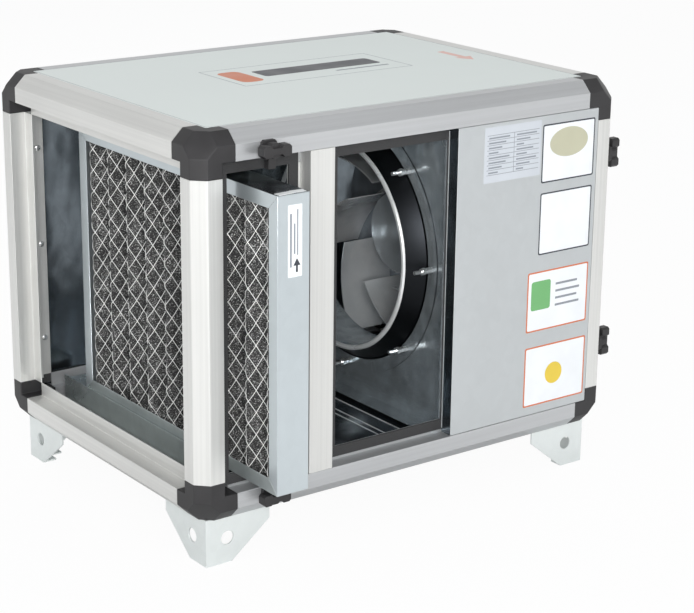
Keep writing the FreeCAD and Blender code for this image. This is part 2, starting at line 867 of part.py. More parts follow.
def filterMedia():
    made = body("filter_media")
    drawn = sketch(made, "media_section", "XY_Plane", lift="filterSheet + seat")
    outline(drawn, pleatPath("0") + list(reversed(pleatPath("pleatPaper"))))
    feature(made, "Pad", "media_pad", drawn, f"{filterHeight} - 2 * filterSheet - 2 * seat")
    place(made, ("filterX", "-filterOut", filterFoot))


def filterGuides():
    low = f"({panelThick} + seat)"
    width = "(filterThick + 2 * guidePlay + 2 * guideSheet)"
    depth = f"(cabDepth - 2 * {finTip} - 2 * seat)"
    for label, turn, z in (("filter_guide_bottom", 0, low), ("filter_guide_top", 180, f"cabHeight - {low}")):
        made = body(label)
        height = f"({finTip} - {low})"
        drawn = sketch(made, label + "_section", "XZ_Plane")
        half = f"({width} / 2)"
        inside = f"({half} - guideSheet)"
        outline(
            drawn,
            [
                (f"-{half}", "0"),
                (f"-{inside}", "0"),
                (f"-{inside}", f"{height} - guideSheet"),
                (inside, f"{height} - guideSheet"),
                (inside, "0"),
                (half, "0"),
                (half, f"{height} + guideLip"),
                (inside, f"{height} + guideLip"),
                (inside, height),
                (f"-{inside}", height),
                (f"-{inside}", f"{height} + guideLip"),
                (f"-{half}", f"{height} + guideLip"),
            ],
        )
        feature(made, "Pad", label + "_pad", drawn, depth, reverse=True)
        place(made, ("filterX + filterThick / 2", f"{finTip} + seat", z), aboutY(turn))


# turn latch: a base plate with a bore, and a knob with two-lobed grip, hub, stub shaft and tongue
def latchBase(label, at, turn):
    made = doc.addObject("PartDesign::Body", label)
    drawn = sketch(made, label + "_plate", "XY_Plane")
    wide = "(latchBaseWide / 2)"
    long = "(latchBaseLong / 2)"
    outline(drawn, chamfered(wide, long, "gripCorner"))
    circle(drawn, "0", "0", "latchShaftRadius + shaftPlay")
    feature(made, "Pad", label + "_pad", drawn, "latchBaseThick")
    return place(made, at, turn)


def latchKnob(label, at, turn):
    made = body(label)
    hubZ = "(latchBaseThick + seat)"
    shaft = sketch(made, label + "_shaft", "XY_Plane", lift="seat")
    circle(shaft, "0", "0", "latchShaftRadius")
    feature(made, "Pad", label + "_shaft_pad", shaft, "latchBaseThick")
    hub = sketch(made, label + "_hub", "XY_Plane", lift=hubZ)
    half = "(latchHubAcross / 2)"
    outline(hub, chamfered(half, half, f"({half} * (2 - sqrt(2)))"))
    feature(made, "Pad", label + "_hub_pad", hub, "latchHubThick + gripHeight / 2")
    tongue = sketch(made, label + "_tongue", "XY_Plane", lift=hubZ)
    oblong(tongue, ("-tongueWidth / 2", "-tongueReach"), ("tongueWidth / 2", "0"))
    feature(made, "Pad", label + "_tongue_pad", tongue, "tongueThick")
    tip = sketch(made, label + "_tip", "XY_Plane", lift="2 * seat")
    oblong(tip, ("-tongueWidth / 2", "-tongueReach"), ("tongueWidth / 2", "-latchBaseLong / 2 - gripCorner"))
    feature(made, "Pad", label + "_tip_pad", tip, "latchBaseThick")
    grip = sketch(made, label + "_grip", "XY_Plane", lift=f"{hubZ} + latchHubThick / 2")
    wide = "(gripWidth / 2)"
    waist = "(gripWaist / 2)"
    quarter = [
        ("0", waist),
        ("(gripHalf - gripLobe)", waist),
        ("(gripHalf - gripLobe + gripCorner)", wide),
        ("(gripHalf - gripCorner)", wide),
        ("gripHalf", f"({wide} - gripCorner)"),
    ]
    across = [(f"-{x}", y) for x, y in reversed(quarter[1:])] + quarter[1:]
    outline(grip, across + [(x, f"-{y}") for x, y in reversed(across)])
    feature(made, "Pad", label + "_grip_pad", grip, "latchHubThick / 2 + gripHeight")
    return place(made, at, turn)


def latches():
    toFront = aboutX(90)
    toOutlet = Rotation(Vector(0, 1, 0), Vector(0, 0, 1), Vector(1, 0, 0), "ZXY")
    low = f"{axisZ} - latchHalfSpan"
    high = f"{axisZ} + latchHalfSpan"
    spots = (
        ("filter_top", ("latchX", "0", "cabHeight - latchInset"), toFront),
        ("filter_bottom", ("latchX", "0", "latchInset"), toFront * aboutZ(180)),
        ("outlet_front_top", ("cabLength", "latchInset", high), toOutlet * aboutZ(90)),
        ("outlet_front_bottom", ("cabLength", "latchInset", low), toOutlet * aboutZ(90)),
        ("outlet_back_top", ("cabLength", "cabDepth - latchInset", high), toOutlet * aboutZ(-90)),
        ("outlet_back_bottom", ("cabLength", "cabDepth - latchInset", low), toOutlet * aboutZ(-90)),
    )
    bases = []
    for name, at, turn in spots:
        bases.append(latchBase("latch_base_" + name, at, turn))
        latchKnob("latch_knob_" + name, at, turn)
    piece(group("latch_bases", bases), "latch_bases")


# folded sheet feet with a hole in each flange, tabs screwed under the rails and inturned soles
def foot(label, at, turn):
    made = body(label)
    side = [
        ("0", "0"),
        ("footArm", "0"),
        ("footArm", "-footEnd"),
        ("footRun", "-footHeight"),
        ("0", "-footHeight"),
    ]
    for name, role, reverse in (("long", "XZ_Plane", True), ("cross", "YZ_Plane", False)):
        flange = sketch(made, f"{label}_{name}", role)
        outline(flange, side)
        circle(flange, "footHoleIn", "-footHoleDown", "footHoleRadius")
        feature(made, "Pad", f"{label}_{name}_pad", flange, "footSheet", reverse=reverse)
    tabs = sketch(made, label + "_tabs", "XY_Plane")
    tabIn = "(footTab)"
    outline(
        tabs,
        [
            ("0", "0"),
            ("footArm", "0"),
            ("footArm", tabIn),
            (tabIn, tabIn),
            (tabIn, "footArm"),
            ("0", "footArm"),
        ],
    )
    feature(made, "Pad", label + "_tab_pad", tabs, "footSheet", reverse=True)
    sole = sketch(made, label + "_sole", "XY_Plane", lift="-footHeight")
    outline(
        sole,
        [
            ("0", "0"),
            ("footRun", "0"),
            ("footRun", "footSole"),
            ("footSole", "footSole"),
            ("footSole", "footRun"),
            ("0", "footRun"),
        ],
    )
    feature(made, "Pad", label + "_sole_pad", sole, "footSheet")
    return place(made, at, turn)


def feet():
    screws = []
    under = "-footSheet - screwHeadThick"
    for name, x, y, sx, sy, angle in (
        ("front_left", "footInset", "footInset", 1, 1, 0),
        ("front_right", "cabLength - footInset", "footInset", -1, 1, 90),
        ("back_right", "cabLength - footInset", "cabDepth - footInset", -1, -1, 180),
        ("back_left", "footInset", "cabDepth - footInset", 1, -1, 270),
    ):
        foot("foot_" + name, (x, y, "0"), aboutZ(angle))
        middle = "(footTab / 2 + footSheet / 2)"
        for i, (u, v) in enumerate((("footScrewIn", middle), (middle, "footScrewIn"))):
            at = (f"{x} + {sx} * {u}", f"{y} + {sy} * {v}", under)
            head = hexagon(f"foot_screw_{name}_{i}", at, "screwHeadAcross", "screwHeadThick", Rotation())
            screws.append(head)
    piece(group("foot_screws", screws), "foot_screws")


frameProfiles()
cornerCaps()
mullion()
panels()
seals()
partition()
inletRing()
ringFasteners()
backPlate()
shroud()
blades()
rotor()
stator()
bridge()
outletCollar()
filterFrame()
filterMedia()
filterGuides()
latches()
feet()
doc.recompute()

for thing in doc.Objects:
    if "Invalid" in thing.State or "Error" in thing.State:
        raise RuntimeError(f"{thing.Name} did not build: {thing.State}")
for thing in pieces:
    if thing.Shape.isNull() or not thing.Shape.isValid():
        raise RuntimeError(f"{thing.Label} has no valid shape")

os.makedirs("parts", exist_ok=True)
for thing in pieces:
    thing.Shape.exportStep(os.path.join("parts", thing.Label + ".step"))
    box = thing.Shape.BoundBox
    low = [round(side, 1) for side in (box.XMin, box.YMin, box.ZMin)]
    high = [round(side, 1) for side in (box.XMax, box.YMax, box.ZMax)]
    print(thing.Label, len(thing.Shape.Solids), round(thing.Shape.Volume), low, high)
print(len(pieces), "nodes")
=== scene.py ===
import bisect
import json
import math

import bmesh
import bpy
from mathutils import Matrix, Vector, noise as grain


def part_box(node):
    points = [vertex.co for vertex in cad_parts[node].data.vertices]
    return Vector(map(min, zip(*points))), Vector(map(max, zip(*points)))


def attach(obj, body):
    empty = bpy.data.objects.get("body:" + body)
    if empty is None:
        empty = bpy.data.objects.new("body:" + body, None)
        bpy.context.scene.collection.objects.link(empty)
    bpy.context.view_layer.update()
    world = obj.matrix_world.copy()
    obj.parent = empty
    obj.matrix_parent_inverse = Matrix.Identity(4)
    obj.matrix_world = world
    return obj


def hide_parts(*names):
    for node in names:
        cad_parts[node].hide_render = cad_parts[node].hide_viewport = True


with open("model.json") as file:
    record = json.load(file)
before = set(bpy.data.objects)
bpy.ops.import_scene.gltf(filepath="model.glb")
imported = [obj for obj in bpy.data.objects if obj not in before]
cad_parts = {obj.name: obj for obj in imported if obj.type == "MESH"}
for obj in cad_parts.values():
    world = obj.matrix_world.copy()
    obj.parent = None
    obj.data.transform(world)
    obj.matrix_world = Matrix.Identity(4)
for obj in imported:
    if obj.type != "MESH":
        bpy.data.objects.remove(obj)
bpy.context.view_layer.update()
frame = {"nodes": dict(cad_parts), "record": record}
nodes = frame["nodes"]
print("frame loaded:", len(nodes), "nodes")

mm = 0.001
low = Vector((
    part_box("post_front_left")[0].x,
    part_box("post_front_left")[0].y,
    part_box("rail_bottom_front")[0].z,
))


def inFrame(x, y, z):
    # millimetres from the frame's lower corner at the inlet end and the access side
    return low + Vector((x, y, z)) * mm


# camera and studio

cameraSet = {
    "place": (-1275, -2041, 1069),
    "azimuth": -36.6,
    "elevation": 17.38,
    "roll": 0.67,
    "lens": 100.6,
}


def buildCamera(kit):
    azimuth, elevation, roll = (math.radians(kit[word]) for word in ("azimuth", "elevation", "roll"))
    flat = math.cos(elevation)
    back = Vector((math.sin(azimuth) * flat, -math.cos(azimuth) * flat, math.sin(elevation)))
    side = (-back).cross(Vector((0, 0, 1))).normalized()
    up = side.cross(-back)
    right = side * math.cos(roll) + up * math.sin(roll)
    top = up * math.cos(roll) - side * math.sin(roll)
    data = bpy.data.cameras.new("camera")
    data.sensor_width = 36
    data.lens = kit["lens"]
    data.clip_end = 100
    camera = bpy.data.objects.new("camera", data)
    bpy.context.collection.objects.link(camera)
    turn = Matrix((right, top, back)).transposed().to_4x4()
    camera.matrix_world = Matrix.Translation(inFrame(*kit["place"])) @ turn
    bpy.context.scene.camera = camera


studio = {
    "world": (0.80, 0.83, 0.86),
    "worldStrength": 0.52,
    "sky": {"grey": 0.50, "start": 0.10, "end": 0.70},
    "floorSize": 60,
    "floorGrey": (0.86, 0.86, 0.86),
    "floorRoughness": 0.9,
    "floorGloss": 0.1,
    "floorWhite": 0.95,
    "floorMirrored": 0.76,
    "floorShade": {"reach": (0.40, 0.32), "near": 0.36, "start": 0.9, "end": 1.7},
    "aim": (370, 278, 250),
    "mirrored": ("openingLamp",),
    "lamps": {
        "keyLamp": {"place": (-2.8, -2.6, 2.0), "size": 2.2, "power": 36},
        "topLamp": {"place": (0.3, 0.2, 3.4), "size": 2.6, "power": 17},
        "fillLamp": {"place": (2.2, -3.2, 1.3), "size": 2.2, "power": 12},
        "openingLamp": {"place": (-1.7, -2.7, 1.25), "size": 0.8, "power": 60},
        "backLamp": {"place": (0.5, 3.4, 2.2), "size": 2.4, "power": 26},
    },
}


def seenWhite(tree, camera, mirrored):
    # stated shares for rays from the camera and for reflections, 0 for the light that falls on things
    path = tree.nodes.new("ShaderNodeLightPath")
    total = None
    rays = (("Is Camera Ray", camera), ("Is Glossy Ray", mirrored), ("Is Transmission Ray", mirrored))
    for word, share in rays:
        part = tree.nodes.new("ShaderNodeMath")
        part.operation = "MULTIPLY"
        part.inputs[1].default_value = share
        tree.links.new(path.outputs[word], part.inputs[0])
        if total is not None:
            most = tree.nodes.new("ShaderNodeMath")
            most.operation = "MAXIMUM"
            tree.links.new(total, most.inputs[0])
            tree.links.new(part.outputs[0], most.inputs[1])
            part = most
        total = part.outputs[0]
    return total


def wholeForCamera(tree, share):
    # the share as it is in reflections, and the whole for the camera
    path = tree.nodes.new("ShaderNodeLightPath")
    most = tree.nodes.new("ShaderNodeMath")
    most.operation = "MAXIMUM"
    tree.links.new(share, most.inputs[0])
    tree.links.new(path.outputs["Is Camera Ray"], most.inputs[1])
    return most.outputs[0]


def skyStrength(tree, kit):
    # white at the horizon and greyer overhead in reflections
    coords = tree.nodes.new("ShaderNodeTexCoord")
    split = tree.nodes.new("ShaderNodeSeparateXYZ")
    tree.links.new(coords.outputs["Generated"], split.inputs[0])
    fall = rangeOf(tree, split.outputs["Z"], 1.0, kit["grey"], start=kit["start"], end=kit["end"])
    return wholeForCamera(tree, fall)


def floorShadowStrength(tree, kit, whole):
    # the floor's strength in a reflection, with a painted shadow: darker close to the object, whole further
    # away
    reachX, reachY = kit["reach"]
    away = tree.nodes.new("ShaderNodeVectorMath")
    away.operation = "LENGTH"
    tree.links.new(objectPoint(tree, (1 / reachX, 1 / reachY, 1)), away.inputs[0])
    rise = rangeOf(tree, away.outputs["Value"], kit["near"] / whole, 1.0, start=kit["start"], end=kit["end"])
    return wholeForCamera(tree, rise)


def buildStudio(kit):
    scene = bpy.context.scene
    scene.view_settings.view_transform = "Standard"
    world = bpy.data.worlds.new("studioWorld")
    world.use_nodes = True
    scene.world = world
    tree = world.node_tree
    plain = tree.nodes["Background"]
    plain.inputs["Color"].default_value = (*kit["world"], 1)
    plain.inputs["Strength"].default_value = kit["worldStrength"]
    white = tree.nodes.new("ShaderNodeBackground")
    white.inputs["Color"].default_value = (1, 1, 1, 1)
    mix = tree.nodes.new("ShaderNodeMixShader")
    tree.links.new(skyStrength(tree, kit["sky"]), white.inputs["Strength"])
    tree.links.new(seenWhite(tree, 1, 1), mix.inputs["Fac"])
    tree.links.new(plain.outputs["Background"], mix.inputs[1])
    tree.links.new(white.outputs["Background"], mix.inputs[2])
    tree.links.new(mix.outputs["Shader"], tree.nodes["World Output"].inputs["Surface"])

    shape = bmesh.new()
    bmesh.ops.create_grid(shape, x_segments=1, y_segments=1, size=kit["floorSize"] / 2)
    mesh = bpy.data.meshes.new("floor")
    shape.to_mesh(mesh)
    shape.free()
    floor = bpy.data.objects.new("floor", mesh)
    bpy.context.collection.objects.link(floor)
    material, tree, shader = newMaterial("floorPaper", kit["floorGrey"], 0.0, kit["floorRoughness"])
    shader.inputs["Specular IOR Level"].default_value = kit["floorGloss"]
    glow = tree.nodes.new("ShaderNodeEmission")
    # the floor as seen in reflections glows, with a painted shadow round the object
    tree.links.new(floorShadowStrength(tree, kit["floorShade"], kit["floorMirrored"]), glow.inputs["Strength"])
    mix = tree.nodes.new("ShaderNodeMixShader")
    tree.links.new(seenWhite(tree, kit["floorWhite"], kit["floorMirrored"]), mix.inputs["Fac"])
    tree.links.new(shader.outputs["BSDF"], mix.inputs[1])
    tree.links.new(glow.outputs["Emission"], mix.inputs[2])
    tree.links.new(mix.outputs["Shader"], tree.nodes["Material Output"].inputs["Surface"])
    mesh.materials.append(material)

    target = inFrame(*kit["aim"])
    for name, lamp in kit["lamps"].items():
        data = bpy.data.lights.new(name, "AREA")
        data.shape = "SQUARE"
        data.size = lamp["size"]
        data.energy = lamp["power"]
        light = bpy.data.objects.new(name, data)
        bpy.context.collection.objects.link(light)
        light.location = lamp["place"]
        light.rotation_euler = (target - light.location).to_track_quat("-Z", "Y").to_euler()
        light.visible_glossy = name in kit["mirrored"]


# materials

def newMaterial(name, base, metallic, roughness):
    material = bpy.data.materials.new(name)
    material.use_nodes = True
    tree = material.node_tree
    shader = tree.nodes["Principled BSDF"]
    shader.inputs["Base Color"].default_value = (*base, 1)
    shader.inputs["Metallic"].default_value = metallic
    shader.inputs["Roughness"].default_value = roughness
    return material, tree, shader


def objectPoint(tree, stretch=(1, 1, 1), turn=(0, 0, 0)):
    coords = tree.nodes.new("ShaderNodeTexCoord")
    mapping = tree.nodes.new("ShaderNodeMapping")
    mapping.inputs["Scale"].default_value = stretch
    mapping.inputs["Rotation"].default_value = turn
    tree.links.new(coords.outputs["Object"], mapping.inputs["Vector"])
    return mapping.outputs["Vector"]


def noiseOf(tree, vector, scale, detail=3, roughness=0.5):
    node = tree.nodes.new("ShaderNodeTexNoise")
    node.inputs["Scale"].default_value = scale
    node.inputs["Detail"].default_value = detail
    node.inputs["Roughness"].default_value = roughness
    tree.links.new(vector, node.inputs["Vector"])
    return node.outputs["Fac"]


def rampOf(tree, factor, *stops):
    node = tree.nodes.new("ShaderNodeValToRGB")
    ramp = node.color_ramp
    while len(ramp.elements) < len(stops):
        ramp.elements.new(0.5)
    for element, (place, colour) in zip(ramp.elements, stops):
        element.position = place
        element.color = (*colour, 1)
    tree.links.new(factor, node.inputs["Fac"])
    return node.outputs["Color"]


def rangeOf(tree, factor, least, most, start=0.3, end=0.7):
    node = tree.nodes.new("ShaderNodeMapRange")
    node.inputs["From Min"].default_value = start
    node.inputs["From Max"].default_value = end
    node.inputs["To Min"].default_value = least
    node.inputs["To Max"].default_value = most
    tree.links.new(factor, node.inputs["Value"])
    return node.outputs["Result"]


def blendOf(tree, first, second, share):
    # two patterns in one, with the stated share of the second
    node = tree.nodes.new("ShaderNodeMix")
    node.inputs["Factor"].default_value = share
    tree.links.new(first, node.inputs["A"])
    tree.links.new(second, node.inputs["B"])
    return node.outputs["Result"]


def bumpOf(tree, shader, height, strength, distance, under=None):
    node = tree.nodes.new("ShaderNodeBump")
    if under is not None:
        tree.links.new(under, node.inputs["Normal"])
    node.inputs["Strength"].default_value = strength
    node.inputs["Distance"].default_value = distance
    tree.links.new(height, node.inputs["Height"])
    tree.links.new(node.outputs["Normal"], shader.inputs["Normal"])
    return node.outputs["Normal"]


def shade(colour, factor):
    return tuple(min(1, part * factor) for part in colour)


def tint(tree, shader, factor, base, dark, light, start=0.3, end=0.7):
    # a colour that runs from a darker to a lighter shade of the base along a pattern
    colour = rampOf(tree, factor, (start, shade(base, dark)), (end, shade(base, light)))
    tree.links.new(colour, shader.inputs["Base Color"])


def roughen(tree, shader, factor, least, most):
    tree.links.new(rangeOf(tree, factor, least, most), shader.inputs["Roughness"])


# extruded aluminium: fine die lines along the bar and a slow change of tone
def drawnAluminium(name, axis, base=(0.72, 0.72, 0.70)):
    material, tree, shader = newMaterial(name, base, metallic=0.60, roughness=0.34)
    stretch = [260, 260, 260]
    stretch["xyz".index(axis)] = 2.2
    lines = noiseOf(tree, objectPoint(tree, stretch), scale=1, detail=4)
    slow = noiseOf(tree, objectPoint(tree), scale=3.5, detail=2)
    tint(tree, shader, blendOf(tree, lines, slow, 0.4), base, dark=0.93, light=1.05, start=0.35, end=0.65)
    roughen(tree, shader, lines, 0.34, 0.44)
    bumpOf(tree, shader, lines, strength=0.10, distance=0.0002)
    return material


# hot dip zinc sheet: soft crystals in the zinc, faint rolling lines and a slow buckle that bends reflections;
# the slow clouds in its tone are partly the zinc's own patchiness and partly painted sheen
def zincSheet(name, base, roughness, metallic, spangleAndSheen=0.05, buckle=0.0):
    material, tree, shader = newMaterial(name, base, metallic, roughness)
    cells = tree.nodes.new("ShaderNodeTexVoronoi")
    cells.inputs["Scale"].default_value = 90
    tree.links.new(objectPoint(tree, (1, 1, 0.7)), cells.inputs["Vector"])
    single = tree.nodes.new("ShaderNodeSeparateColor")
    tree.links.new(cells.outputs["Color"], single.inputs["Color"])
    fine = noiseOf(tree, objectPoint(tree), scale=40)
    cloudy = noiseOf(tree, objectPoint(tree), scale=6, detail=4)
    rolled = noiseOf(tree, objectPoint(tree, (140, 140, 3)), scale=1)
    # the slow clouds carry more than half of the tone, so a large share paints patches of reflected light,
    # painted sheen
    tone = blendOf(tree, blendOf(tree, single.outputs["Red"], fine, 0.75), cloudy, 0.55)
    tint(tree, shader, tone, base, dark=1 - spangleAndSheen, light=1 + spangleAndSheen, start=0.25, end=0.75)
    roughen(tree, shader, cloudy, roughness - 0.04, roughness + 0.06)
    bent = None
    if buckle:
        swell = noiseOf(tree, objectPoint(tree, (1, 1, 0.6)), scale=11, detail=2)
        bent = bumpOf(tree, shader, swell, strength=1.0, distance=buckle)
    bumpOf(tree, shader, rolled, strength=0.03, distance=0.0002, under=bent)
    return material


# coated sheet: even colour with a light orange peel
def coatedSheet(name, base, roughness=0.42):
    material, tree, shader = newMaterial(name, base, 0.0, roughness)
    slow = noiseOf(tree, objectPoint(tree), scale=4)
    peel = noiseOf(tree, objectPoint(tree), scale=700, detail=2)
    tint(tree, shader, slow, base, dark=0.975, light=1.015)
    roughen(tree, shader, slow, roughness - 0.03, roughness + 0.04)
    bumpOf(tree, shader, peel, strength=0.05, distance=0.0001)
    return material


# moulded plastic with a fine grain
def mouldedPlastic(name, base, roughness=0.5):
    material, tree, shader = newMaterial(name, base, 0.0, roughness)
    fine = noiseOf(tree, objectPoint(tree), scale=900)
    slow = noiseOf(tree, objectPoint(tree), scale=25)
    tint(tree, shader, slow, base, dark=0.8, light=1.2)
    roughen(tree, shader, slow, roughness - 0.06, roughness + 0.08)
    bumpOf(tree, shader, fine, strength=0.25, distance=0.0001)
    return material


# foam rubber strip
def foamRubber(name, base=(0.035, 0.035, 0.036)):
    material, tree, shader = newMaterial(name, base, 0.0, 0.85)
    cells = noiseOf(tree, objectPoint(tree), scale=1200, detail=2)
    tint(tree, shader, cells, base, dark=0.5, light=1.7)
    bumpOf(tree, shader, cells, strength=0.4, distance=0.0003)
    return material


# filter wadding: dark fibres with light ones on top
def fibreWadding(name):
    material, tree, shader = newMaterial(name, (0.08, 0.08, 0.078), 0.0, 0.8)
    fine = noiseOf(tree, objectPoint(tree, (1, 1, 1.3)), scale=520, roughness=0.6)
    slow = noiseOf(tree, objectPoint(tree), scale=60)
    stops = (
        (0.41, (0.005, 0.005, 0.006)),
        (0.51, (0.026, 0.026, 0.025)),
        (0.58, (0.14, 0.14, 0.137)),
        (0.67, (0.62, 0.62, 0.61)),
    )
    tree.links.new(rampOf(tree, blendOf(tree, fine, slow, 0.18), *stops), shader.inputs["Base Color"])
    bumpOf(tree, shader, fine, strength=0.7, distance=0.0008)
    return material


# bright wire and zinc plated hardware
def brightZinc(name, base=(0.80, 0.81, 0.81), roughness=0.3, metallic=0.9):
    material, tree, shader = newMaterial(name, base, metallic, roughness)
    fine = noiseOf(tree, objectPoint(tree), scale=350)
    tint(tree, shader, fine, base, dark=0.86, light=1.08)
    roughen(tree, shader, fine, roughness - 0.06, roughness + 0.08)
    return material


# printed foil of one colour
def printedFoil(name, base, roughness=0.4):
    material, tree, shader = newMaterial(name, base, 0.0, roughness)
    slow = noiseOf(tree, objectPoint(tree), scale=30, detail=2)
    tint(tree, shader, slow, base, dark=0.97, light=1.02)
    roughen(tree, shader, slow, roughness - 0.04, roughness + 0.04)
    return material


# each zinc has its name, its colour, its roughness and its share of bare metal
finish = {
    # the bars along X get a darker aluminium than those along Y and Z, painted shade on the front and back
    # rails
    "barX": drawnAluminium("barAlongXShaded", "x", (0.53, 0.54, 0.55)),
    "barY": drawnAluminium("barAlongY", "y"),
    "barZ": drawnAluminium("barAlongZ", "z"),
    "cornerPlastic": mouldedPlastic("cornerPlastic", (0.024, 0.0232, 0.0245)),
    "latchPlastic": mouldedPlastic("latchPlastic", (0.022, 0.021, 0.022), roughness=0.42),
    "topSheet": coatedSheet("topSheet", (0.72, 0.77, 0.745)),
    "panelZinc": zincSheet("panelZinc", (0.54, 0.565, 0.575), 0.36, 0.60),
    # zinc of the partition, collar, motor bridge and ring: its large share of clouds paints patches of
    # reflected light, painted sheen
    "innerZinc": zincSheet("innerZinc", (0.43, 0.475, 0.50), 0.22, 0.74, spangleAndSheen=0.50, buckle=0.005),
    "paintedShadeZinc": zincSheet("paintedShadeZinc", (0.16, 0.185, 0.205), 0.20, 0.97, spangleAndSheen=0.45, buckle=0.006),
    "guideZinc": zincSheet("guideZinc", (0.50, 0.55, 0.55), 0.30, 0.75, spangleAndSheen=0.12, buckle=0.003),
    "paintedShadeRingZinc": zincSheet("paintedShadeRingZinc", (0.022, 0.024, 0.027), 0.40, 1.0, spangleAndSheen=0.10),
    "paintedHighlightZinc": zincSheet("paintedHighlightZinc", (0.94, 0.96, 0.96), 0.26, 0.50, spangleAndSheen=0.04),
    # a brightened zinc for the blades and shroud, painted light, and a darker copy of it for the back plate,
    # painted shade
    "brightenedWheelZinc": zincSheet("brightenedWheelZinc", (0.90, 0.95, 0.97), 0.18, 0.66, spangleAndSheen=0.12, buckle=0.012),
    "shadedPlateZinc": zincSheet("shadedPlateZinc", (0.34, 0.38, 0.42), 0.20, 0.62, spangleAndSheen=0.25, buckle=0.012),
    "rotorZinc": zincSheet("rotorZinc", (0.46, 0.49, 0.51), 0.24, 0.60, spangleAndSheen=0.10, buckle=0.008),
    "filterZinc": zincSheet("filterZinc", (0.58, 0.635, 0.66), 0.32, 0.80),
    "footZinc": zincSheet("footZinc", (0.80, 0.84, 0.83), 0.38, 0.50),
    "tabZinc": zincSheet("tabZinc", (0.88, 0.90, 0.90), 0.36, 0.25, spangleAndSheen=0.10),
    "rubber": foamRubber("foamRubber"),
    "wadding": fibreWadding("fibreWadding"),
    "wire": brightZinc("brightWire", (0.92, 0.92, 0.90), 0.40, 0.15),
    "hardware": brightZinc("zincHardware"),
    "rivet": brightZinc("rivetZinc", (0.50, 0.52, 0.53), 0.34, 0.8),
    "motorPaint": coatedSheet("motorPaint", (0.03, 0.03, 0.033), 0.35),
    "white": printedFoil("whiteFoil", (0.82, 0.84, 0.86)),
    "paleGrey": printedFoil("paleGreyFoil", (0.56, 0.59, 0.63)),
    "ink": printedFoil("inkFoil", (0.035, 0.04, 0.05)),
    "greyInk": printedFoil("greyInkFoil", (0.25, 0.27, 0.30)),
    "orange": printedFoil("orangeFoil", (0.60, 0.17, 0.07)),
    "green": printedFoil("greenFoil", (0.16, 0.42, 0.16)),
    "yellow": printedFoil("yellowFoil", (0.75, 0.55, 0.06)),
    "sand": printedFoil("sandFoil", (0.50, 0.49, 0.36)),
    "red": printedFoil("redFoil", (0.74, 0.44, 0.38)),
}
print("materials made:", len(finish))


# making pieces

def built(shape, name, material, body, smooth=10):
    mesh = bpy.data.meshes.new(name)
    shape.normal_update()
    shape.to_mesh(mesh)
    shape.free()
    for face in mesh.polygons:
        face.use_smooth = True
    mesh.set_sharp_from_angle(angle=math.radians(smooth))
    mesh.materials.append(material)
    piece = bpy.data.objects.new(name, mesh)
    bpy.context.collection.objects.link(piece)
    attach(piece, body)
    return piece


def bodyOf(node):
    for body, members in frame["record"]["behaviour"]["bodies"].items():
        if node in members:
            return body
    return "cabinet"


def rounded(shape, edges, width, segments):
    bmesh.ops.bevel(
        shape,
        geom=edges,
        offset=width,
        offset_type="OFFSET",
        segments=segments,
        profile=0.5,
        affect="EDGES",
        clamp_overlap=True,
        material=-1,
    )


def softened(node, material, width, segments=2, along=0.0, sharp=30):
    # a copy of the node whose sharp edges are rounded as the real piece's are
    shape = bmesh.new()
    shape.from_mesh(nodes[node].data)
    bmesh.ops.remove_doubles(shape, verts=shape.verts[:], dist=0.00002)
    bmesh.ops.dissolve_limit(
        shape,
        angle_limit=math.radians(1),
        verts=shape.verts[:],
        edges=shape.edges[:],
        use_dissolve_boundaries=False,
    )
    edges = []
    for edge in shape.edges:
        if len(edge.link_faces) == 2 and edge.calc_length() > along:
            if edge.calc_face_angle(0) > math.radians(sharp):
                edges.append(edge)
    rounded(shape, edges, width, segments)
    piece = built(shape, node + "_shape", material, bodyOf(node))
    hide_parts(node)
    return piece


def dressed(node, material):
    slots = nodes[node].data.materials
    slots.clear()
    slots.append(material)


facing = 0.9  # cosine of the widest angle at which a face still counts as looking one way


def secondFinish(piece, material, outward, beyond=-math.inf):
    # a second material on the faces that look one way, or on those of them past a distance along it
    piece.data.materials.append(material)
    for face in piece.data.polygons:
        if face.normal.dot(outward) > facing and face.center.dot(outward) > beyond:
            face.material_index = 1


def plate(shape, middle, size, turn=Matrix.Identity(4)):
    # a block with its middle at a point, and turned there where a turn is given
    move = Matrix.Translation(middle) @ turn @ Matrix.Diagonal((*size, 1))
    return bmesh.ops.create_cube(shape, size=1, matrix=move)["verts"]


# frame: bars, caps and mullion

frameSet = {"barEdge": 0.0007, "capEdge": 0.0016, "mullionEdge": 0.0008}


def buildFrame(kit):
    for node in nodes:
        if node.startswith("post_"):
            softened(node, finish["barZ"], kit["barEdge"], along=0.05)
        elif node.startswith("rail_"):
            along = "barX" if node.endswith(("front", "back")) else "barY"
            softened(node, finish[along], kit["barEdge"], along=0.05)
        elif node.startswith("cap_"):
            softened(node, finish["cornerPlastic"], kit["capEdge"], segments=3)
    softened("front_mullion", finish["barZ"], kit["mullionEdge"], along=0.05)


# panels, partition and seals

panelSet = {
    "edge": 0.0012,
    "inward": {"front_panel": (-1, 0, 0), "bottom_panel": (0, 0, 1), "back_panel": (0, -1, 0)},
}


def buildPanels(kit):
    softened("top_panel", finish["topSheet"], kit["edge"], segments=3)
    # the faces that look into the unit get a darker copy of the zinc, painted shade for the unit's dark
    # inside, with painted patches of reflected light
    for node, inward in kit["inward"].items():
        piece = softened(node, finish["panelZinc"], kit["edge"], segments=3)
        secondFinish(piece, finish["paintedShadeZinc"], Vector(inward))
    dressed("outlet_panel", finish["panelZinc"])
    for node in ("filter_door_seal", "front_seal", "panel_seals"):
        dressed(node, finish["rubber"])
    for node in ("partition", "outlet_collar", "motor_bridge"):
        dressed(node, finish["innerZinc"])
    for node in ("filter_guide_bottom", "filter_guide_top"):
        dressed(node, finish["guideZinc"])


# inlet ring: one turned sheet with a bare flange and throat, a near-black cone that is painted shade and a
# bright rolled rim that is a painted highlight

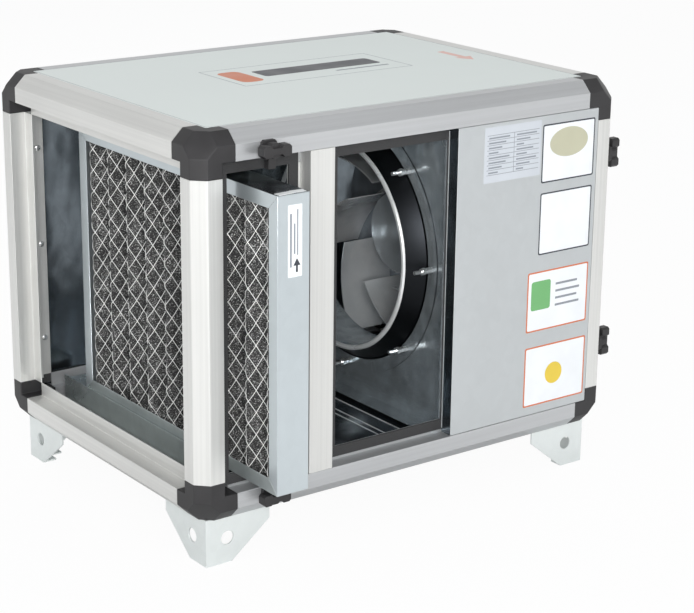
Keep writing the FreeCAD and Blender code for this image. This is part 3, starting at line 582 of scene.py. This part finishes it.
ringLow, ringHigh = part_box("inlet_ring")
ringSet = {
    "flange": 0.207,
    "bend": 0.184,
    "bendRound": 0.003,
    "rim": 0.167,
    "roll": 0.004,
    "sheet": 0.0015,
    "throatDeep": 0.040,
    "bendStep": 0.3,
    "rimBack": 1.3,
    "throatBelow": 1.5,
    "flatFrom": 0.5,
    "steps": 168,
    "rollSteps": 8,
}


def ringWall(kit, inside):
    # half of the section as distance along the axis and radius, from the flange to the throat
    face = ringHigh.x - kit["throatDeep"]
    away = 0 if inside else -kit["sheet"]
    bend = kit["bend"] - (kit["sheet"] if inside else 0)
    rimX = ringLow.x + kit["roll"]
    middle = kit["rim"] - kit["roll"]
    radius = kit["roll"] - (kit["sheet"] if inside else 0)
    points = [(face + away, kit["flange"]), (face + away, bend + kit["bendRound"])]
    points.append((face + away - kit["bendStep"] * kit["bendRound"], bend))
    for i in range(kit["rollSteps"] + 1):
        angle = math.radians(90 + 180 * i / kit["rollSteps"])
        points.append((rimX + radius * math.cos(angle), middle + radius * math.sin(angle)))
    points.append((ringHigh.x, middle - radius))
    return points


def buildRing(kit):
    axis = Vector((0, (ringLow.y + ringHigh.y) / 2, (ringLow.z + ringHigh.z) / 2))
    outer, inner = ringWall(kit, False), ringWall(kit, True)
    shape = bmesh.new()
    verts = [shape.verts.new((x, axis.y + r, axis.z)) for x, r in outer + inner[::-1]]
    edges = [shape.edges.new((verts[i], verts[(i + 1) % len(verts)])) for i in range(len(verts))]
    bmesh.ops.spin(
        shape,
        geom=verts + edges,
        cent=axis,
        axis=(1, 0, 0),
        angle=2 * math.pi,
        steps=kit["steps"],
        use_merge=True,
    )
    bmesh.ops.recalc_face_normals(shape, faces=shape.faces[:])
    rimBack = ringLow.x + kit["rimBack"] * kit["roll"]
    for face in shape.faces:
        middle = face.calc_center_median()
        radius = math.hypot(middle.y - axis.y, middle.z - axis.z)
        inThroat = radius < kit["rim"] - kit["throatBelow"] * kit["roll"]
        onFlange = radius > kit["bend"] + kit["bendRound"] / 2 and abs(face.normal.x) > kit["flatFrom"]
        # the rim's faces get the bright zinc, a painted highlight; the cone keeps the near-black zinc,
        # painted shade
        if middle.x < rimBack:
            face.material_index = 1
        elif inThroat or onFlange:
            face.material_index = 2
    piece = built(shape, "inlet_ring_turned", finish["paintedShadeRingZinc"], "cabinet", smooth=30)
    piece.data.materials.append(finish["paintedHighlightZinc"])
    piece.data.materials.append(finish["innerZinc"])
    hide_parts("inlet_ring")


# impeller and motor: rivets along the blades' tabs and bolts round the motor

wheelSet = {
    "blades": 7,
    "inner": 0.084,
    "outer": 0.183,
    "sweep": 50,
    "curve": 0.184,
    "phase": -20,
    "tab": 0.014,
    "tabShare": 0.6,
    "sheet": 0.002,
    "rivets": 6,
    "rivetRadius": 0.0032,
    "rivetHigh": 0.0018,
    "rivetProud": 0.0003,
    "bolts": 6,
    "boltPhase": 20,
    "boltCircle": 0.075,
    "boltRadius": 0.0058,
    "boltTaper": 0.9,
    "boltHigh": 0.004,
}


def tabPoint(kit, part):
    # point on the middle of a blade's tab, from the eye at 0 to the rim at 1, before the blade is turned
    sweep = math.radians(kit["sweep"])
    first = Vector((kit["inner"], 0))
    last = Vector((kit["outer"] * math.cos(sweep), -kit["outer"] * math.sin(sweep)))
    chord = last - first
    across = Vector((chord.y, -chord.x)).normalized()
    centre = (first + last) / 2 + across * math.sqrt(kit["curve"] ** 2 - (chord.length / 2) ** 2)
    arm = (first + chord * part) - centre
    return centre + arm.normalized() * (kit["curve"] + kit["tab"] * kit["tabShare"])


def buildRivets(kit):
    near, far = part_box("impeller_back_plate")
    middle = (near + far) / 2
    shape = bmesh.new()
    for k in range(kit["blades"]):
        turn = Matrix.Rotation(math.radians(kit["phase"] + 360 * k / kit["blades"]), 4, "X")
        for i in range(kit["rivets"]):
            spot = tabPoint(kit, (i + 0.5) / kit["rivets"])
            at = turn @ Vector((0, spot.x, spot.y))
            place = Vector((near.x - kit["sheet"] - kit["rivetProud"], middle.y + at.y, middle.z + at.z))
            dome = Matrix.Diagonal((kit["rivetHigh"] / kit["rivetRadius"], 1, 1, 1))
            bmesh.ops.create_icosphere(
                shape, subdivisions=2, radius=kit["rivetRadius"], matrix=Matrix.Translation(place) @ dome
            )
    built(shape, "blade_rivets", finish["rivet"], "impeller", smooth=60)
    shape = bmesh.new()
    for i in range(kit["bolts"]):
        angle = math.radians(kit["boltPhase"] + 360 * i / kit["bolts"])
        spot = Vector((0, math.cos(angle), math.sin(angle))) * kit["boltCircle"]
        place = Vector((near.x - kit["boltHigh"] / 2, middle.y + spot.y, middle.z + spot.z))
        bmesh.ops.create_cone(
            shape,
            cap_ends=True,
            segments=6,
            radius1=kit["boltRadius"],
            radius2=kit["boltRadius"] * kit["boltTaper"],
            depth=kit["boltHigh"],
            matrix=Matrix.Translation(place) @ Matrix.Rotation(math.radians(-90), 4, "Y"),
        )
    built(shape, "rotor_bolts", finish["hardware"], "impeller", smooth=30)


def buildWheel(kit):
    # blades and shroud in the brightened zinc, painted light; the back plate of the same sheet in the darker
    # one, painted shade
    for node in ("impeller_shroud", "impeller_blades"):
        dressed(node, finish["brightenedWheelZinc"])
    dressed("impeller_back_plate", finish["shadedPlateZinc"])
    buildRivets(kit)
    dressed("motor_rotor", finish["rotorZinc"])
    dressed("motor_stator", finish["motorPaint"])
    for node in ("ring_studs", "ring_spacers", "ring_nuts", "foot_screws"):
        dressed(node, finish["hardware"])


# filter: mitred channels, a pleated sheet and the mesh that lies on it

filterLow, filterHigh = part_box("filter_frame")
mediaLow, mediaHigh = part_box("filter_media")
filterSet = {
    "flange": 0.020,
    "sheet": 0.001,
    "gap": 0.00025,
    "edge": 0.0005,
    "pleats": 10,
    "paper": 0.004,
    "wallShare": 0.8,
    "perPleat": 24,
    "rows": 60,
    "lumps": 0.0007,
    "lumpScale": 45,
    "lumpSlice": 3.1,
    "cellWide": 0.0187,
    "cellHigh": 0.0315,
    "wire": 0.00050,
    "wireStep": 0.0052,
    "wireSamples": 40,
    "probe": 1e-5,
    "lift": 0.0004,
}


def channel(name, start, end, inward, across):
    # one side of the folded frame: outer web with two flanges that point inward, mitred at both ends
    kit = filterSet
    along = (end - start).normalized()
    length = (end - start).length
    thick = filterHigh.x - filterLow.x
    turn = Matrix((across, along, inward)).transposed().to_4x4()
    shape = bmesh.new()
    middle = (start + end) / 2 + inward * kit["flange"] / 2
    plate(shape, middle, (thick, length, kit["flange"]), turn)
    shape.faces.ensure_lookup_table()
    inner = max(shape.faces, key=lambda face: face.calc_center_median().dot(inward))
    bmesh.ops.inset_region(shape, faces=[inner], thickness=kit["sheet"], use_even_offset=True)
    deep = inward * (kit["flange"] - kit["sheet"])
    made = bmesh.ops.extrude_discrete_faces(shape, faces=[inner])
    bmesh.ops.translate(shape, verts=made["faces"][0].verts[:], vec=-deep)
    for point, sign in ((start, -1), (end, 1)):
        normal = (along * sign + inward).normalized()
        bisected = bmesh.ops.bisect_plane(
            shape,
            geom=shape.verts[:] + shape.edges[:] + shape.faces[:],
            plane_co=point - along * sign * kit["gap"],
            plane_no=normal,
            clear_outer=True,
        )
        cutEdges = [item for item in bisected["geom_cut"] if isinstance(item, bmesh.types.BMEdge)]
        bmesh.ops.contextual_create(shape, geom=cutEdges)
    bmesh.ops.recalc_face_normals(shape, faces=shape.faces[:])
    piece = built(shape, name, finish["filterZinc"], "filter", smooth=30)
    bevel = piece.modifiers.new("edge", "BEVEL")
    bevel.width = kit["edge"]
    bevel.segments = 2
    bevel.limit_method = "ANGLE"
    bevel.angle_limit = math.radians(40)
    return piece


def buildFilterFrame():
    middleX = (filterLow.x + filterHigh.x) / 2
    corners = [
        Vector((middleX, filterLow.y, filterLow.z)),
        Vector((middleX, filterHigh.y, filterLow.z)),
        Vector((middleX, filterHigh.y, filterHigh.z)),
        Vector((middleX, filterLow.y, filterHigh.z)),
    ]
    across = Vector((1, 0, 0))
    inwards = (Vector((0, 0, 1)), Vector((0, -1, 0)), Vector((0, 0, -1)), Vector((0, 1, 0)))
    names = ("filter_channel_bottom", "filter_channel_far", "filter_channel_top", "filter_channel_near")
    for i, name in enumerate(names):
        piece = channel(name, corners[i], corners[(i + 1) % 4], inwards[i], across)
        if name == "filter_channel_bottom":
            piece.data.materials[0] = finish["guideZinc"]
        if name == "filter_channel_top":
            # the top channel's outer face gets the darker zinc too, painted shade under the top of the unit
            outside = filterHigh.z - filterSet["sheet"]
            secondFinish(piece, finish["paintedShadeZinc"], Vector((0, 0, 1)), beyond=outside)
        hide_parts("filter_frame")


def pleatDepth(y):
    # place of the pleated sheet's middle at a distance along the filter: furthest from the inlet at both ends
    kit = filterSet
    middle = (mediaLow.x + mediaHigh.x) / 2
    reach = (mediaHigh.x - mediaLow.x - kit["paper"]) / 2
    folds = kit["pleats"] * (y - mediaLow.y) / (mediaHigh.y - mediaLow.y)
    return middle + reach * math.cos(2 * math.pi * folds)


def buildWadding():
    kit = filterSet
    shape = bmesh.new()
    columns = kit["pleats"] * kit["perPleat"]
    span, height = mediaHigh.y - mediaLow.y, mediaHigh.z - mediaLow.z
    bmesh.ops.create_grid(shape, x_segments=columns, y_segments=kit["rows"], size=0.5)
    for vert in shape.verts:
        y = mediaLow.y + (vert.co.x + 0.5) * span
        z = mediaLow.z + (vert.co.y + 0.5) * height
        lump = grain.noise(Vector((y, kit["lumpSlice"], z)) * kit["lumpScale"]) * kit["lumps"]
        vert.co = Vector((pleatDepth(y) + lump, y, z))
    bmesh.ops.recalc_face_normals(shape, faces=shape.faces[:])
    piece = built(shape, "filter_wadding", finish["wadding"], "filter", smooth=80)
    wall = piece.modifiers.new("paper", "SOLIDIFY")
    wall.thickness = kit["paper"] * kit["wallShare"]
    wall.offset = 0
    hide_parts("filter_media")


def buildWires(name, side):
    # expanded mesh laid on the pleats: two families of slanting strands over the unfolded length
    kit = filterSet
    steps = kit["pleats"] * kit["wireSamples"]
    ys = [mediaLow.y + (mediaHigh.y - mediaLow.y) * i / steps for i in range(steps + 1)]
    run = [0.0]
    for a, b in zip(ys, ys[1:]):
        run.append(run[-1] + math.hypot(b - a, pleatDepth(b) - pleatDepth(a)))
    total, height = run[-1], mediaHigh.z - mediaLow.z
    slope = kit["cellWide"] / kit["cellHigh"]
    away = kit["paper"] * kit["wallShare"] / 2 + kit["wire"] + kit["lift"]

    def onPleat(distance, z):
        i = min(max(bisect.bisect_left(run, distance), 1), steps)
        part = (distance - run[i - 1]) / (run[i] - run[i - 1])
        y = ys[i - 1] + (ys[i] - ys[i - 1]) * part
        slant = (pleatDepth(y + kit["probe"]) - pleatDepth(y - kit["probe"])) / (2 * kit["probe"])
        out = Vector((1, -slant, 0)).normalized() * side
        return Vector((pleatDepth(y), y, z)) + out * away

    data = bpy.data.curves.new(name, "CURVE")
    data.dimensions = "3D"
    data.bevel_depth = kit["wire"]
    data.bevel_resolution = 0
    count = int(math.ceil(height / kit["wireStep"]))
    extra = int(height * slope / kit["cellWide"]) + 1
    for way in (-1, 1):
        for k in range(-extra, int(total / kit["cellWide"]) + extra + 1):
            points = []
            for j in range(count + 1):
                z = height * j / count
                distance = k * kit["cellWide"] + way * z * slope
                if 0 <= distance <= total:
                    points.append(onPleat(distance, mediaLow.z + z))
            if len(points) < 2:
                continue
            spline = data.splines.new("POLY")
            spline.points.add(len(points) - 1)
            for point, place in zip(spline.points, points):
                point.co = (*place, 1)
    curve = bpy.data.objects.new(name + "Curve", data)
    bpy.context.collection.objects.link(curve)
    bpy.context.view_layer.update()
    mesh = bpy.data.meshes.new_from_object(curve.evaluated_get(bpy.context.evaluated_depsgraph_get()))
    bpy.data.objects.remove(curve)
    shape = bmesh.new()
    shape.from_mesh(mesh)
    bpy.data.meshes.remove(mesh)
    bmesh.ops.recalc_face_normals(shape, faces=shape.faces[:])
    built(shape, name, finish["wire"], "filter", smooth=60)


# filter trim: folded tabs at the near top corner, and a plain label with bars and an arrow

trimSet = {
    "tabReach": 0.011,
    "tabSheet": 0.0007,
    "tabRound": 0.00021,
    "tabs": (
        {"part": 0.30, "wide": 0.024, "at": 0.62, "turn": 4},
        {"part": 0.74, "wide": 0.020, "at": 0.74, "turn": -5},
    ),
    "labelWide": (85, 107),
    "labelHigh": (360, 456),
    "bars": (
        {"at": 3, "stroke": 3.0, "start": 0.14, "end": 0.88},
        {"at": 9, "stroke": 2.5, "start": 0.32, "end": 0.74},
        {"at": 14, "stroke": 2.0, "start": 0.30, "end": 0.93},
    ),
    "arrow": {"x": 99, "tail": 366, "neck": 375, "stem": 1.6, "half": 6.5},
}


def buildFilterTrim(kit):
    reach, sheet = kit["tabReach"], kit["tabSheet"]
    shape = bmesh.new()
    for tab in kit["tabs"]:
        x = filterLow.x + (filterHigh.x - filterLow.x) * tab["part"]
        middle = Vector((x, filterLow.y + reach * tab["at"], filterHigh.z + sheet / 2))
        turn = Matrix.Rotation(math.radians(tab["turn"]), 4, "Z")
        plate(shape, middle, (tab["wide"], reach, sheet), turn)
    rounded(shape, shape.edges[:], kit["tabRound"], 1)
    built(shape, "filter_corner_tabs", finish["tabZinc"], "filter")

    face = (Vector((1, 0, 0)), Vector((0, 0, 1)), Vector((0, -1, 0)), Vector((low.x, filterLow.y, low.z)))
    wide, high = kit["labelWide"], kit["labelHigh"]
    flatField("filter_label", finish["white"], wide, high, face, corner=0.001, body="filter")
    printed = {"face": face, "layer": 1, "body": "filter"}
    for i, bar in enumerate(kit["bars"]):
        x = wide[0] + bar["at"]
        span = high[1] - high[0]
        length = (high[0] + span * bar["start"], high[0] + span * bar["end"])
        flatField(f"filter_bar_{i}", finish["greyInk"], (x, x + bar["stroke"]), length, **printed)
    arrow = kit["arrow"]
    stem = (arrow["x"] - arrow["stem"], arrow["x"] + arrow["stem"])
    flatField("filter_arrow_stem", finish["ink"], stem, (arrow["tail"], arrow["neck"]), **printed)
    arrowHead("filter_arrow_head", finish["ink"], arrow["x"], arrow["neck"], arrow["half"], **printed)


# latches and feet

hardwareSet = {"knobEdge": 0.0009, "footEdge": 0.0004, "sharp": 50}


def buildHardware(kit):
    for node in nodes:
        if node.startswith("latch_knob_"):
            softened(node, finish["latchPlastic"], kit["knobEdge"], sharp=kit["sharp"])
        elif node.startswith("foot_") and node != "foot_screws":
            softened(node, finish["footZinc"], kit["footEdge"], sharp=kit["sharp"])
    dressed("latch_bases", finish["latchPlastic"])


# small trim: screws on the back fins, ribs on the service bay's floor, the front panel's cut edge; ribs and
# edge are in bright zinc, painted highlights

trimPlaces = {
    "screws": ((51, 420), (51, 270), (51, 120)),
    "screwFace": 529,
    "screwRadius": 0.0046,
    "screwHigh": 0.0016,
    "ribs": (418, 390, 378),
    "ribWide": 0.0011,
    "ribHigh": 0.0010,
    "ribShare": 0.94,
    "cutWide": 0.0016,
    "cutProud": 0.0002,
    "cutShare": 0.97,
}


def buildTrim(kit):
    shape = bmesh.new()
    for x, z in kit["screws"]:
        place = inFrame(x, kit["screwFace"], z)
        flat = Matrix.Diagonal((1, kit["screwHigh"] / kit["screwRadius"], 1, 1))
        bmesh.ops.create_icosphere(
            shape, subdivisions=3, radius=kit["screwRadius"], matrix=Matrix.Translation(place) @ flat
        )
    built(shape, "fin_screws", finish["hardware"], "cabinet", smooth=60)

    # the ribs are in the bright zinc, painted highlights along their crowns
    near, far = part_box("bottom_panel")
    shape = bmesh.new()
    for x in kit["ribs"]:
        middle = Vector((inFrame(x, 0, 0).x, (near.y + far.y) / 2, far.z + kit["ribHigh"] / 2))
        plate(shape, middle, (kit["ribWide"], (far.y - near.y) * kit["ribShare"], kit["ribHigh"]))
    built(shape, "floor_ribs", finish["paintedHighlightZinc"], "cabinet")

    # the cut edge is a bright strip proud of the panel, a painted highlight
    near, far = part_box("front_panel")
    shape = bmesh.new()
    wide, proud = kit["cutWide"], kit["cutProud"]
    middle = Vector((near.x - proud / 2, far.y - wide, (near.z + far.z) / 2))
    plate(shape, middle, (proud, wide, (far.z - near.z) * kit["cutShare"]))
    built(shape, "panel_return_edge", finish["paintedHighlightZinc"], "cabinet")


# printed fields: plain colours and simple shapes, laid in layers of foil on a face, in millimetres

foil = 0.00006
roofHigh = 540
frontFace = (Vector((1, 0, 0)), Vector((0, 0, 1)), Vector((0, -1, 0)), inFrame(0, 0, 0))
topFace = (Vector((1, 0, 0)), Vector((0, 1, 0)), Vector((0, 0, 1)), inFrame(0, 0, roofHigh))


def flatField(name, material, wide, high, face, layer=0, corner=0.0, body="cabinet"):
    # a foil from one place to another across the face, and from one to another up it
    axisX, axisY, out, origin = face
    shape = bmesh.new()
    middle = origin + axisX * (wide[0] + wide[1]) / 2 * mm + axisY * (high[0] + high[1]) / 2 * mm
    middle += out * (layer * foil + foil / 2)
    turn = Matrix((axisX, axisY, out)).transposed().to_4x4()
    plate(shape, middle, ((wide[1] - wide[0]) * mm, (high[1] - high[0]) * mm, foil), turn)
    if corner:
        upright = []
        for edge in shape.edges:
            along = (edge.verts[0].co - edge.verts[1].co).normalized()
            if abs(along.dot(out)) > facing:
                upright.append(edge)
        rounded(shape, upright, corner, 4)
    return built(shape, name, material, body, smooth=30)


def arrowHead(name, material, x, y, half, face, layer=0, body="cabinet", down=False):
    # a plain triangle whose base is at y and whose tip points along the face's second axis
    axisX, axisY, out, origin = face
    shape = bmesh.new()
    turn = Matrix((axisX, axisY, out)).transposed().to_4x4()
    tip = Matrix.Rotation(math.radians(180 if down else 0), 4, "Z")
    rise = -half / 2 if down else half / 2
    middle = origin + (axisX * x + axisY * (y + rise)) * mm + out * (layer * foil + foil / 2)
    bmesh.ops.create_cone(
        shape,
        cap_ends=True,
        segments=3,
        radius1=half * mm,
        radius2=half * mm,
        depth=foil,
        matrix=Matrix.Translation(middle) @ turn @ tip,
    )
    return built(shape, name, material, body, smooth=30)


def disc(name, material, x, z, radius, layer=0, stretch=1.0):
    # a round or oval foil on the front
    shape = bmesh.new()
    middle = inFrame(x, 0, z) + Vector((0, -layer * foil - foil / 2, 0))
    turn = Matrix.Rotation(math.radians(90), 4, "X") @ Matrix.Diagonal((stretch, 1, 1, 1))
    bmesh.ops.create_cone(
        shape,
        cap_ends=True,
        segments=48,
        radius1=radius * mm,
        radius2=radius * mm,
        depth=foil,
        matrix=Matrix.Translation(middle) @ turn,
    )
    return built(shape, name, material, "cabinet", smooth=30)


def framed(name, wide, high, edge, material, face):
    # a thin printed outline
    highIn = (high[0] + edge, high[1] - edge)
    flatField(name + "_low", material, wide, (high[0], highIn[0]), face)
    flatField(name + "_high", material, wide, (highIn[1], high[1]), face)
    flatField(name + "_near", material, (wide[0], wide[0] + edge), highIn, face)
    flatField(name + "_far", material, (wide[1] - edge, wide[1]), highIn, face)


def bordered(name, wide, high, edge, border, inner):
    # a field on a slightly larger one that shows as its border
    flatField(name + "_border", border, wide, high, frontFace, corner=0.003)
    wideIn = (wide[0] + edge, wide[1] - edge)
    highIn = (high[0] + edge, high[1] - edge)
    flatField(name + "_field", inner, wideIn, highIn, frontFace, layer=1, corner=0.002)


plateSet = {
    "wide": (480, 587),
    "high": (413, 494),
    "rules": 9,
    "ruleWide": (485, 583),
    "ruleHigh": 0.8,
    "entries": 8,
    "entryHigh": 2.2,
    "entryLift": 2.5,
    "first": 424,
    "pitch": 7.2,
    "columns": {
        "entry": {"x": 488, "short": 18, "step": 7, "hop": 5, "lengths": 4},
        "value": {"x": 540, "short": 14, "step": 6, "hop": 7, "lengths": 5},
    },
    "stemWide": (535, 535.8),
    "stemHigh": (424, 482),
}


def buildPlate(kit):
    # a pale field with ruled lines and bars of different lengths between them
    flatField("plate_field", finish["paleGrey"], kit["wide"], kit["high"], frontFace, corner=0.001)
    for i in range(kit["rules"]):
        z = kit["first"] + i * kit["pitch"]
        high = (z, z + kit["ruleHigh"])
        flatField(f"plate_rule_{i}", finish["greyInk"], kit["ruleWide"], high, frontFace, layer=1)
    for i in range(kit["entries"]):
        z = kit["first"] + kit["entryLift"] + i * kit["pitch"]
        for word, column in kit["columns"].items():
            length = column["short"] + column["step"] * (i * column["hop"] % column["lengths"])
            wide = (column["x"], column["x"] + length)
            high = (z, z + kit["entryHigh"])
            flatField(f"plate_{word}_{i}", finish["greyInk"], wide, high, frontFace, layer=1)
    flatField("plate_stem", finish["greyInk"], kit["stemWide"], kit["stemHigh"], frontFace, layer=1)


squareSet = {
    "upper_square": {"wide": (590, 693), "high": (399, 486), "edge": 2.2, "border": "ink"},
    "middle_square": {"wide": (590, 692), "high": (290, 384), "edge": 2.2, "border": "ink"},
    "lower_square": {"wide": (572, 693), "high": (172, 265), "edge": 2.4, "border": "orange"},
    "bottom_square": {"wide": (572, 694), "high": (54, 148), "edge": 2.4, "border": "orange"},
}
signSet = {
    "oval": {"x": 642, "z": 456, "radius": 22, "stretch": 1.7},
    "disc": {"x": 631, "z": 100, "radius": 17},
    "block": {"wide": (580, 618), "high": (205, 250), "corner": 0.004},
    "bars": 4,
    "barX": 628,
    "barLong": 48,
    "barShorter": 5,
    "barFirst": 206,
    "barPitch": 11,
    "barHigh": 3.4,
}


def buildSquares(squares, kit):
    # four bordered fields, with an oval, a block with four bars and a disc on three of them
    for name, square in squares.items():
        border = finish[square["border"]]
        bordered(name, square["wide"], square["high"], square["edge"], border, finish["white"])
    disc("upper_disc", finish["sand"], **kit["oval"], layer=2)
    flatField("lower_block", finish["green"], **kit["block"], face=frontFace, layer=2)
    disc("bottom_disc", finish["yellow"], **kit["disc"], layer=2)
    for i in range(kit["bars"]):
        z = kit["barFirst"] + i * kit["barPitch"]
        wide = (kit["barX"], kit["barX"] + kit["barLong"] - kit["barShorter"] * (i % 2))
        flatField(f"lower_bar_{i}", finish["greyInk"], wide, (z, z + kit["barHigh"]), frontFace, layer=2)


roofSet = {
    "jointShadeInset": 1,
    "jointShadeEdge": 0.8,
    "outline": {"wide": (238, 542), "high": (245, 372), "edge": 1.4},
    "block": {"wide": (252, 290), "high": (268, 350), "corner": 0.012},
    "bar": {"wide": (306, 518), "high": (292, 336), "corner": 0.006},
    "line": {"wide": (420, 518), "high": (272, 278)},
    "stem": {"wide": (648, 660), "high": (262, 318)},
    "head": {"x": 654, "y": 262, "half": 18},
}


def buildRoof(kit):
    # a dark line round the sheet, painted shade in its joint with the frame, then a thin outline with a
    # block, a bar and a line, and a faded arrow
    near, far = (corner - inFrame(0, 0, 0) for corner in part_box("top_panel"))
    inset = kit["jointShadeInset"]
    wide = (near.x / mm + inset, far.x / mm - inset)
    high = (near.y / mm + inset, far.y / mm - inset)
    framed("roof_joint_shade", wide, high, kit["jointShadeEdge"], finish["greyInk"], topFace)
    framed("roof_outline", **kit["outline"], material=finish["greyInk"], face=topFace)
    flatField("roof_block", finish["orange"], **kit["block"], face=topFace)
    flatField("roof_bar", finish["ink"], **kit["bar"], face=topFace)
    flatField("roof_line", finish["greyInk"], **kit["line"], face=topFace)
    flatField("roof_arrow_stem", finish["red"], **kit["stem"], face=topFace)
    arrowHead("roof_arrow_head", finish["red"], **kit["head"], face=topFace, down=True)


buildCamera(cameraSet)
buildStudio(studio)
print("camera and studio ready")
buildFrame(frameSet)
print("frame dressed")
buildPanels(panelSet)
buildRing(ringSet)
buildWheel(wheelSet)
print("panels, ring and wheel dressed")
buildFilterFrame()
buildWadding()
buildWires("filter_wires_inlet", -1)
buildWires("filter_wires_outlet", 1)
print("filter built")
buildHardware(hardwareSet)
buildPlate(plateSet)
buildSquares(squareSet, signSet)
buildRoof(roofSet)
buildFilterTrim(trimSet)
buildTrim(trimPlaces)
print("hardware and fields built")
